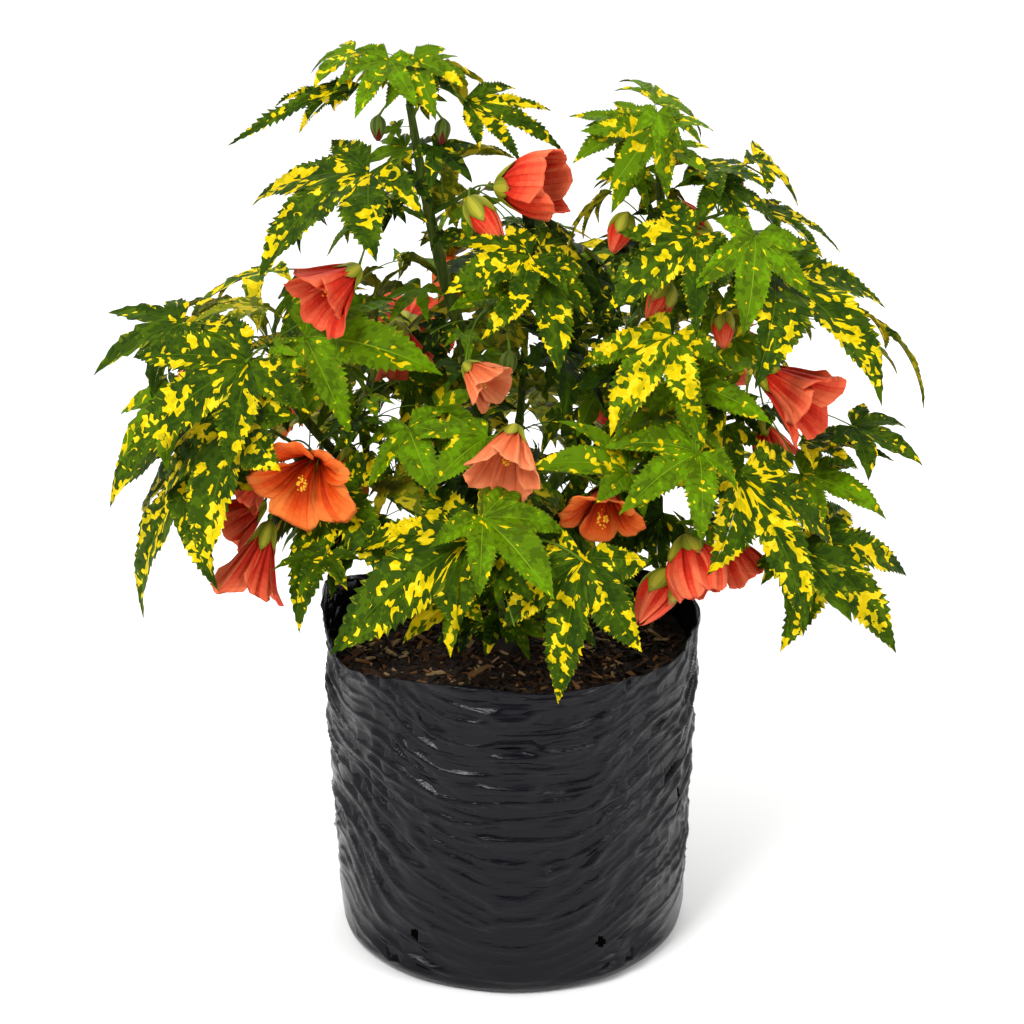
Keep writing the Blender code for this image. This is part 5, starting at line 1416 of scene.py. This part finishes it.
bloom_chance = np.random.default_rng(9)
worn = [bloom for nth, bloom in enumerate(crown.blooms) if nth not in SHED_BLOOMS]
kinds = [bloom[1] for bloom in worn]
feet, mouths = (arrays_of([bloom[i] for bloom in worn]) for i in (3, 4))
bloom_roots = arrays_of([bloom[2] for bloom in worn])
shapes = np.array([("bell", "open", "bud").index(kind) for kind in kinds])
flares = np.array([BLOOM_FLARE[kind] for kind in kinds])
spins = bloom_chance.uniform(0, 2 * np.pi, len(kinds))
fullness = bloom_chance.uniform(1.15, 2.3, len(kinds))
families = np.where((bloom_chance.uniform(0, 1, len(kinds)) < 0.30) & (shapes < 2), 1, 0)
for nth, (family, full, wider) in BLOOM_HABITS.items():
    families[nth], fullness[nth] = list(PETAL_FAMILIES).index(family), full
    flares[nth] *= wider
for nth, share in SHORT_BLOOMS.items():
    mouths[nth] = feet[nth] + (mouths[nth] - feet[nth]) * share
length, axis, side, other = bloom_axes(feet, mouths, spins)
bloom_count = len(kinds)
green_buds = (shapes == 2) & (length < GREEN_BUD_LENGTH)
families[green_buds] = list(PETAL_FAMILIES).index("maroon")


def turned_out(down, radius, turn):
    """Points of all blooms at (down the throat, radius, turn), each an (n, ...) array in lengths."""
    spread = (1,) * (down.ndim - 1)
    scale = length.reshape(-1, *spread)
    place = feet.reshape(-1, *spread, 3) + (down * scale)[..., None] * axis.reshape(-1, *spread, 3)
    return place + (radius * scale)[..., None] * (np.cos(turn)[..., None] * side.reshape(-1, *spread, 3)
                                                  + np.sin(turn)[..., None] * other.reshape(-1, *spread, 3))


def petals():
    """Five petals a bloom, each wedge-shaped with a rounded, crimped lip, pleated by its veins, over
    the next at one edge and under the last at the other. An open bloom's spread late, as a cup does.
    The tone pales from the throat to the lip and deepens on the veins, with painted light and shade
    on the pleats: paler on outward folds, deeper in inward ones."""
    gaps = np.tile([0.86, 0.14], PETAL_VEINS)
    v = (np.r_[0, np.cumsum(gaps)] / gaps.sum() * 2 - 1)[None, None, None, :]
    u = np.linspace(0, 1, PETAL_ROWS)[None, None, :, None]
    n, cols = bloom_count, v.shape[-1]
    petal = np.arange(PETALS)[None, :, None, None]
    shape, flare, full = (a[:, None, None, None] for a in (shapes, flares, fullness))
    phase, pleat = (bloom_chance.uniform(0, 6.28, (n, PETALS, 1, 1)) for _ in range(2))
    loose = bloom_chance.uniform(0.6, 1.4, (n, PETALS, 1, 1))
    longer, swung, twist = (bloom_chance.normal(0, spread, (n, PETALS, 1, 1))
                            for spread in (0.032, 0.06, 0.05))
    shut, wide = shape == 2, shape == 1
    firm = np.where(shut, 0.0, 1.0)
    tuck = np.clip(full - 2.2, 0, 1)
    half = np.pi / 5 * np.select([shut, wide], [1.15, 1.16], 1.36)
    half = half * (0.50 + 0.50 * np.clip(u * 1.9, 0, 1) ** 0.8)
    end = 1 - np.select([shut, wide], [0.10, 0.44], 0.24) * np.abs(v) ** np.where(wide, 3.0, 2.2)
    end = end + firm * (0.016 * np.sin(v * 8 + phase) * loose + 0.010 * np.sin(v * 19 + pleat) + longer)
    run = u * end
    down = 0.05 + 0.95 * np.where(wide, 0.72 * (1 - np.clip(1 - run, 0, 1) ** 1.9), run)
    radius = flared(np.clip(run, 0, 1), flare, shape, full)
    radius = radius - tuck * flare * 1.1 * np.clip(u - 0.6, 0, 1) ** 1.6
    radius = radius * (1 + firm * swung * u) + np.where(shut, 0.02, 0.05) * v * u ** 0.7
    waves = 0.034 * np.sin(v * 4 + phase) * loose + 0.016 * np.sin(v * 11 + pleat)
    radius = radius + firm * u ** 1.6 * waves
    radius = radius - np.where(wide, 0.055, 0.02) * u ** 1.4 * (np.abs(v) ** 2 - 0.3)
    radius = radius + firm * 0.30 * np.clip(u - 0.84, 0, 1) * loose * np.where(wide, 1.5, 1 - tuck)
    folds = bloom_chance.normal(0, 1, (n, PETALS, 1, PETAL_VEINS))
    folds = np.concatenate([np.repeat(folds, 2, axis=3), folds[..., -1:]], axis=3)
    folds = folds * 0.5 + 0.25 * (np.roll(folds, 1, axis=3) + np.roll(folds, -1, axis=3))
    fold_depth = firm * np.where(wide, 0.024, 0.036)
    radius = radius + fold_depth * folds * np.sin(np.pi * np.clip(u * 0.80, 0, 1)) ** 0.7
    radius = radius - 0.022 * np.cos(np.pi * v * 1.5) * tuck * u
    turn = petal * 2 * np.pi / PETALS + half * v + twist + 0.10 * u
    down, turn = down + 0 * radius, turn + 0 * radius
    skins = np.stack([turned_out(down, radius, turn),
                      turned_out(down - 0.002, radius - 0.011, turn)], axis=2)
    one = sheet_faces(PETAL_ROWS, cols)
    row, col = (one.min(axis=1) % (PETAL_ROWS * cols)) // cols, one.min(axis=1) % cols
    share = row[None, :] / PETAL_ROWS
    across = np.abs(col[None, :] / cols * 2 - 1)
    vein = (col % 2 == 1)[None, :] * (1 - share) ** 0.7
    inside = (np.arange(len(one)) >= len(one) // 2)[None, :]
    pale = 0.10 + share * 0.72 + 0.24 * across * share - 0.22 * vein - 0.08 * inside
    # Painted light and shade on the pleats: faces on outward folds are dealt paler tones, those in inward
    # folds deeper ones
    painted_fold_shading = folds.reshape(n * PETALS, cols)[:, np.minimum(col, cols - 2)]
    pale = pale + 0.12 * painted_fold_shading * np.sin(np.pi * share) ** 0.5
    streak = bloom_chance.normal(0, 0.055, (n * PETALS, cols))[:, col]
    pale = pale + streak + bloom_chance.normal(0.02, 0.05, (n * PETALS, 1))
    step = np.clip(pale * PETAL_STEPS, 0, PETAL_STEPS - 1).astype(int)
    dealt = step + PETAL_STEPS * np.repeat(families, PETALS)[:, None]
    return skins.reshape(n * PETALS, -1, 3), one, dealt


def calyces():
    """A cup of five sepals a bloom, joined below and pointed above, ribbed, hugging the petals."""
    rows, cols = 11, 7
    u = np.linspace(0, 1, rows)[None, None, :, None]
    v = np.linspace(-1, 1, cols)[None, None, None, :]
    petal = np.arange(PETALS)[None, :, None, None] + 0.5
    shape, flare, full = (a[:, None, None, None] for a in (shapes, flares, fullness))
    green = green_buds[:, None, None, None]
    reach = np.select([shape == 0, shape == 1, green], [0.40, 0.34, 0.90], 0.60)
    half = np.pi / 5 * 1.04 * np.clip(1.02 - np.clip(u * 1.9 - 0.9, 0, 1) ** 1.5, 0.02, 1)
    down = reach * u * (1 - 0.06 * v ** 2)
    petal_radius = flared(down, flare, shape, full)
    swollen = 0.085 + 0.075 * np.clip(u * 1.6, 0, 1) ** 0.8
    swollen = np.where(shape == 2, swollen * 0.9, swollen)
    radius = np.maximum(petal_radius + 0.018, swollen) * np.clip(u * 7 + 0.12, 0, 1)
    radius = radius + 0.012 * np.exp(-(v / 0.2) ** 2) * np.sin(np.pi * u) + 0.035 * np.clip(u - 0.8, 0, 1)
    turn = petal * 2 * np.pi / PETALS + half * v
    down, turn = down + 0 * radius, turn + 0 * radius
    skins = np.stack([turned_out(down, radius, turn),
                      turned_out(down, np.maximum(radius - 0.012, 0.004), turn)], axis=2)
    one = sheet_faces(rows, cols)
    faces = (np.arange(bloom_count * PETALS)[:, None, None] * 2 * rows * cols + one[None]).reshape(-1, 4)
    col, row = one.min(axis=1) % cols, (one.min(axis=1) % (rows * cols)) // cols
    tones = np.where((col == 2) | (col == 3), 1, 0)
    tones = np.where((col == 0) | (col == cols - 2), 2, tones)
    flushed = bloom_chance.uniform(0, 1, (bloom_count * PETALS, 1)) < 0.5
    tones = np.where(row > rows - 4, 3 * flushed, tones[None, :])
    green_tones = np.where((col == 2) | (col == 3), 5, 4)[None, :]
    dealt = np.where(np.repeat(green_buds, PETALS)[:, None], green_tones, tones)
    return skins.reshape(-1, 3), faces, dealt.ravel()


def seeded_balls(middles, radii):
    """Small eight-sided grains: an octahedron's six corners about each middle."""
    corners = np.array([(1, 0, 0), (-1, 0, 0), (0, 1, 0), (0, -1, 0), (0, 0, 1), (0, 0, -1)], float)
    sides = np.array([(0, 2, 4), (2, 1, 4), (1, 3, 4), (3, 0, 4), (2, 0, 5), (1, 2, 5), (3, 1, 5), (0, 3, 5)])
    points = middles[:, None, :] + radii[:, None, None] * corners[None]
    return points.reshape(-1, 3), (np.arange(len(middles))[:, None, None] * 6 + sides[None]).reshape(-1, 3)


# Petals: papery and matt, in steps from a deep throat to a paler lip; calyx: felted olive
petal_finishes = []
for family, (throat, middle, lip) in PETAL_FAMILIES.items():
    ends = np.array([tone(throat), tone(middle), tone(lip)])
    for step in range(PETAL_STEPS):
        mixed = [np.interp(step / (PETAL_STEPS - 1), (0, 0.45, 1), ends[:, c]) for c in range(4)]
        petal_finishes.append(new_finish(f"petal_{family}_{step + 1}", {
            "Base Color": mixed, "Roughness": 0.6, "Specular IOR Level": 0.1})[0])
calyx_finishes = [new_finish(name, {"Base Color": tone(code), "Roughness": 0.6, "Specular IOR Level": 0.2})[0]
                  for name, code in CALYX_TONES]
petal_skins, petal_faces, petal_dealt = petals()
blossom = []
for first in range(0, bloom_count * PETALS, BLOOMS_A_PIECE * PETALS):
    part = slice(first, first + BLOOMS_A_PIECE * PETALS)
    count, size = petal_skins[part].shape[:2]
    starts = np.arange(count)[:, None, None] * size
    blossom.append(new_piece(f"petals_{len(blossom) + 1}", petal_skins[part].reshape(-1, 3),
                             (petal_faces[None] + starts).reshape(-1, 4), petal_finishes,
                             petal_dealt[part].ravel()))
calyx_points, calyx_faces, calyx_dealt = calyces()
cups = new_piece("calyces", calyx_points, calyx_faces, calyx_finishes, calyx_dealt)
pedicel_lines = stalk_lines(bloom_roots, feet + axis * 0.0015, axis)
pedicel_radii = np.full((bloom_count, STALK_STEPS), 0.00055) + 0.0004 * np.exp(-(1 - along) / 0.05)
pedicels = new_piece("bloom_stalks", *tubes(pedicel_lines, pedicel_radii, STALK_ROUND_SIDES), [green_skin])
with_stamens = np.flatnonzero(shapes < 2)
stamen_reach = np.where(shapes[with_stamens] == 1, 0.80, 0.66)
cores = np.stack([feet[with_stamens] + axis[with_stamens] * (length[with_stamens] * stamen_reach * t)[:, None]
                  for t in (0.1, 0.4, 0.7, 1.0)], axis=1)
column = new_piece("stamen_columns", *tubes(cores, np.tile(COLUMN_RADII, (len(cores), 1)), STALK_ROUND_SIDES),
                   [petal_finishes[COLUMN_TONE]])
each_grain = (len(cores), GRAINS, 1)
grain_spread = bloom_chance.normal(0, 1, (len(cores), GRAINS, 3))
grain_spread /= np.linalg.norm(grain_spread, axis=2, keepdims=True)
grain_middles = (cores[:, None, 3] + grain_spread * bloom_chance.uniform(0.0012, 0.0036, each_grain)
                 - axis[with_stamens][:, None] * bloom_chance.uniform(0, 0.004, each_grain))
# Anthers: dry, dusty pollen
anther, _, _ = new_finish("pollen_yellow_anthers", {"Base Color": tone("F2B21C"), "Roughness": 0.8})
grain_radii = bloom_chance.uniform(0.0005, 0.0009, len(cores) * GRAINS)
anthers = new_piece("anthers", *seeded_balls(grain_middles.reshape(-1, 3), grain_radii), [anther])
for made in (*blossom, cups, pedicels, column, anthers):
    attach(made, "root")
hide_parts(*sorted({bloom[0] for bloom in crown.blooms}))
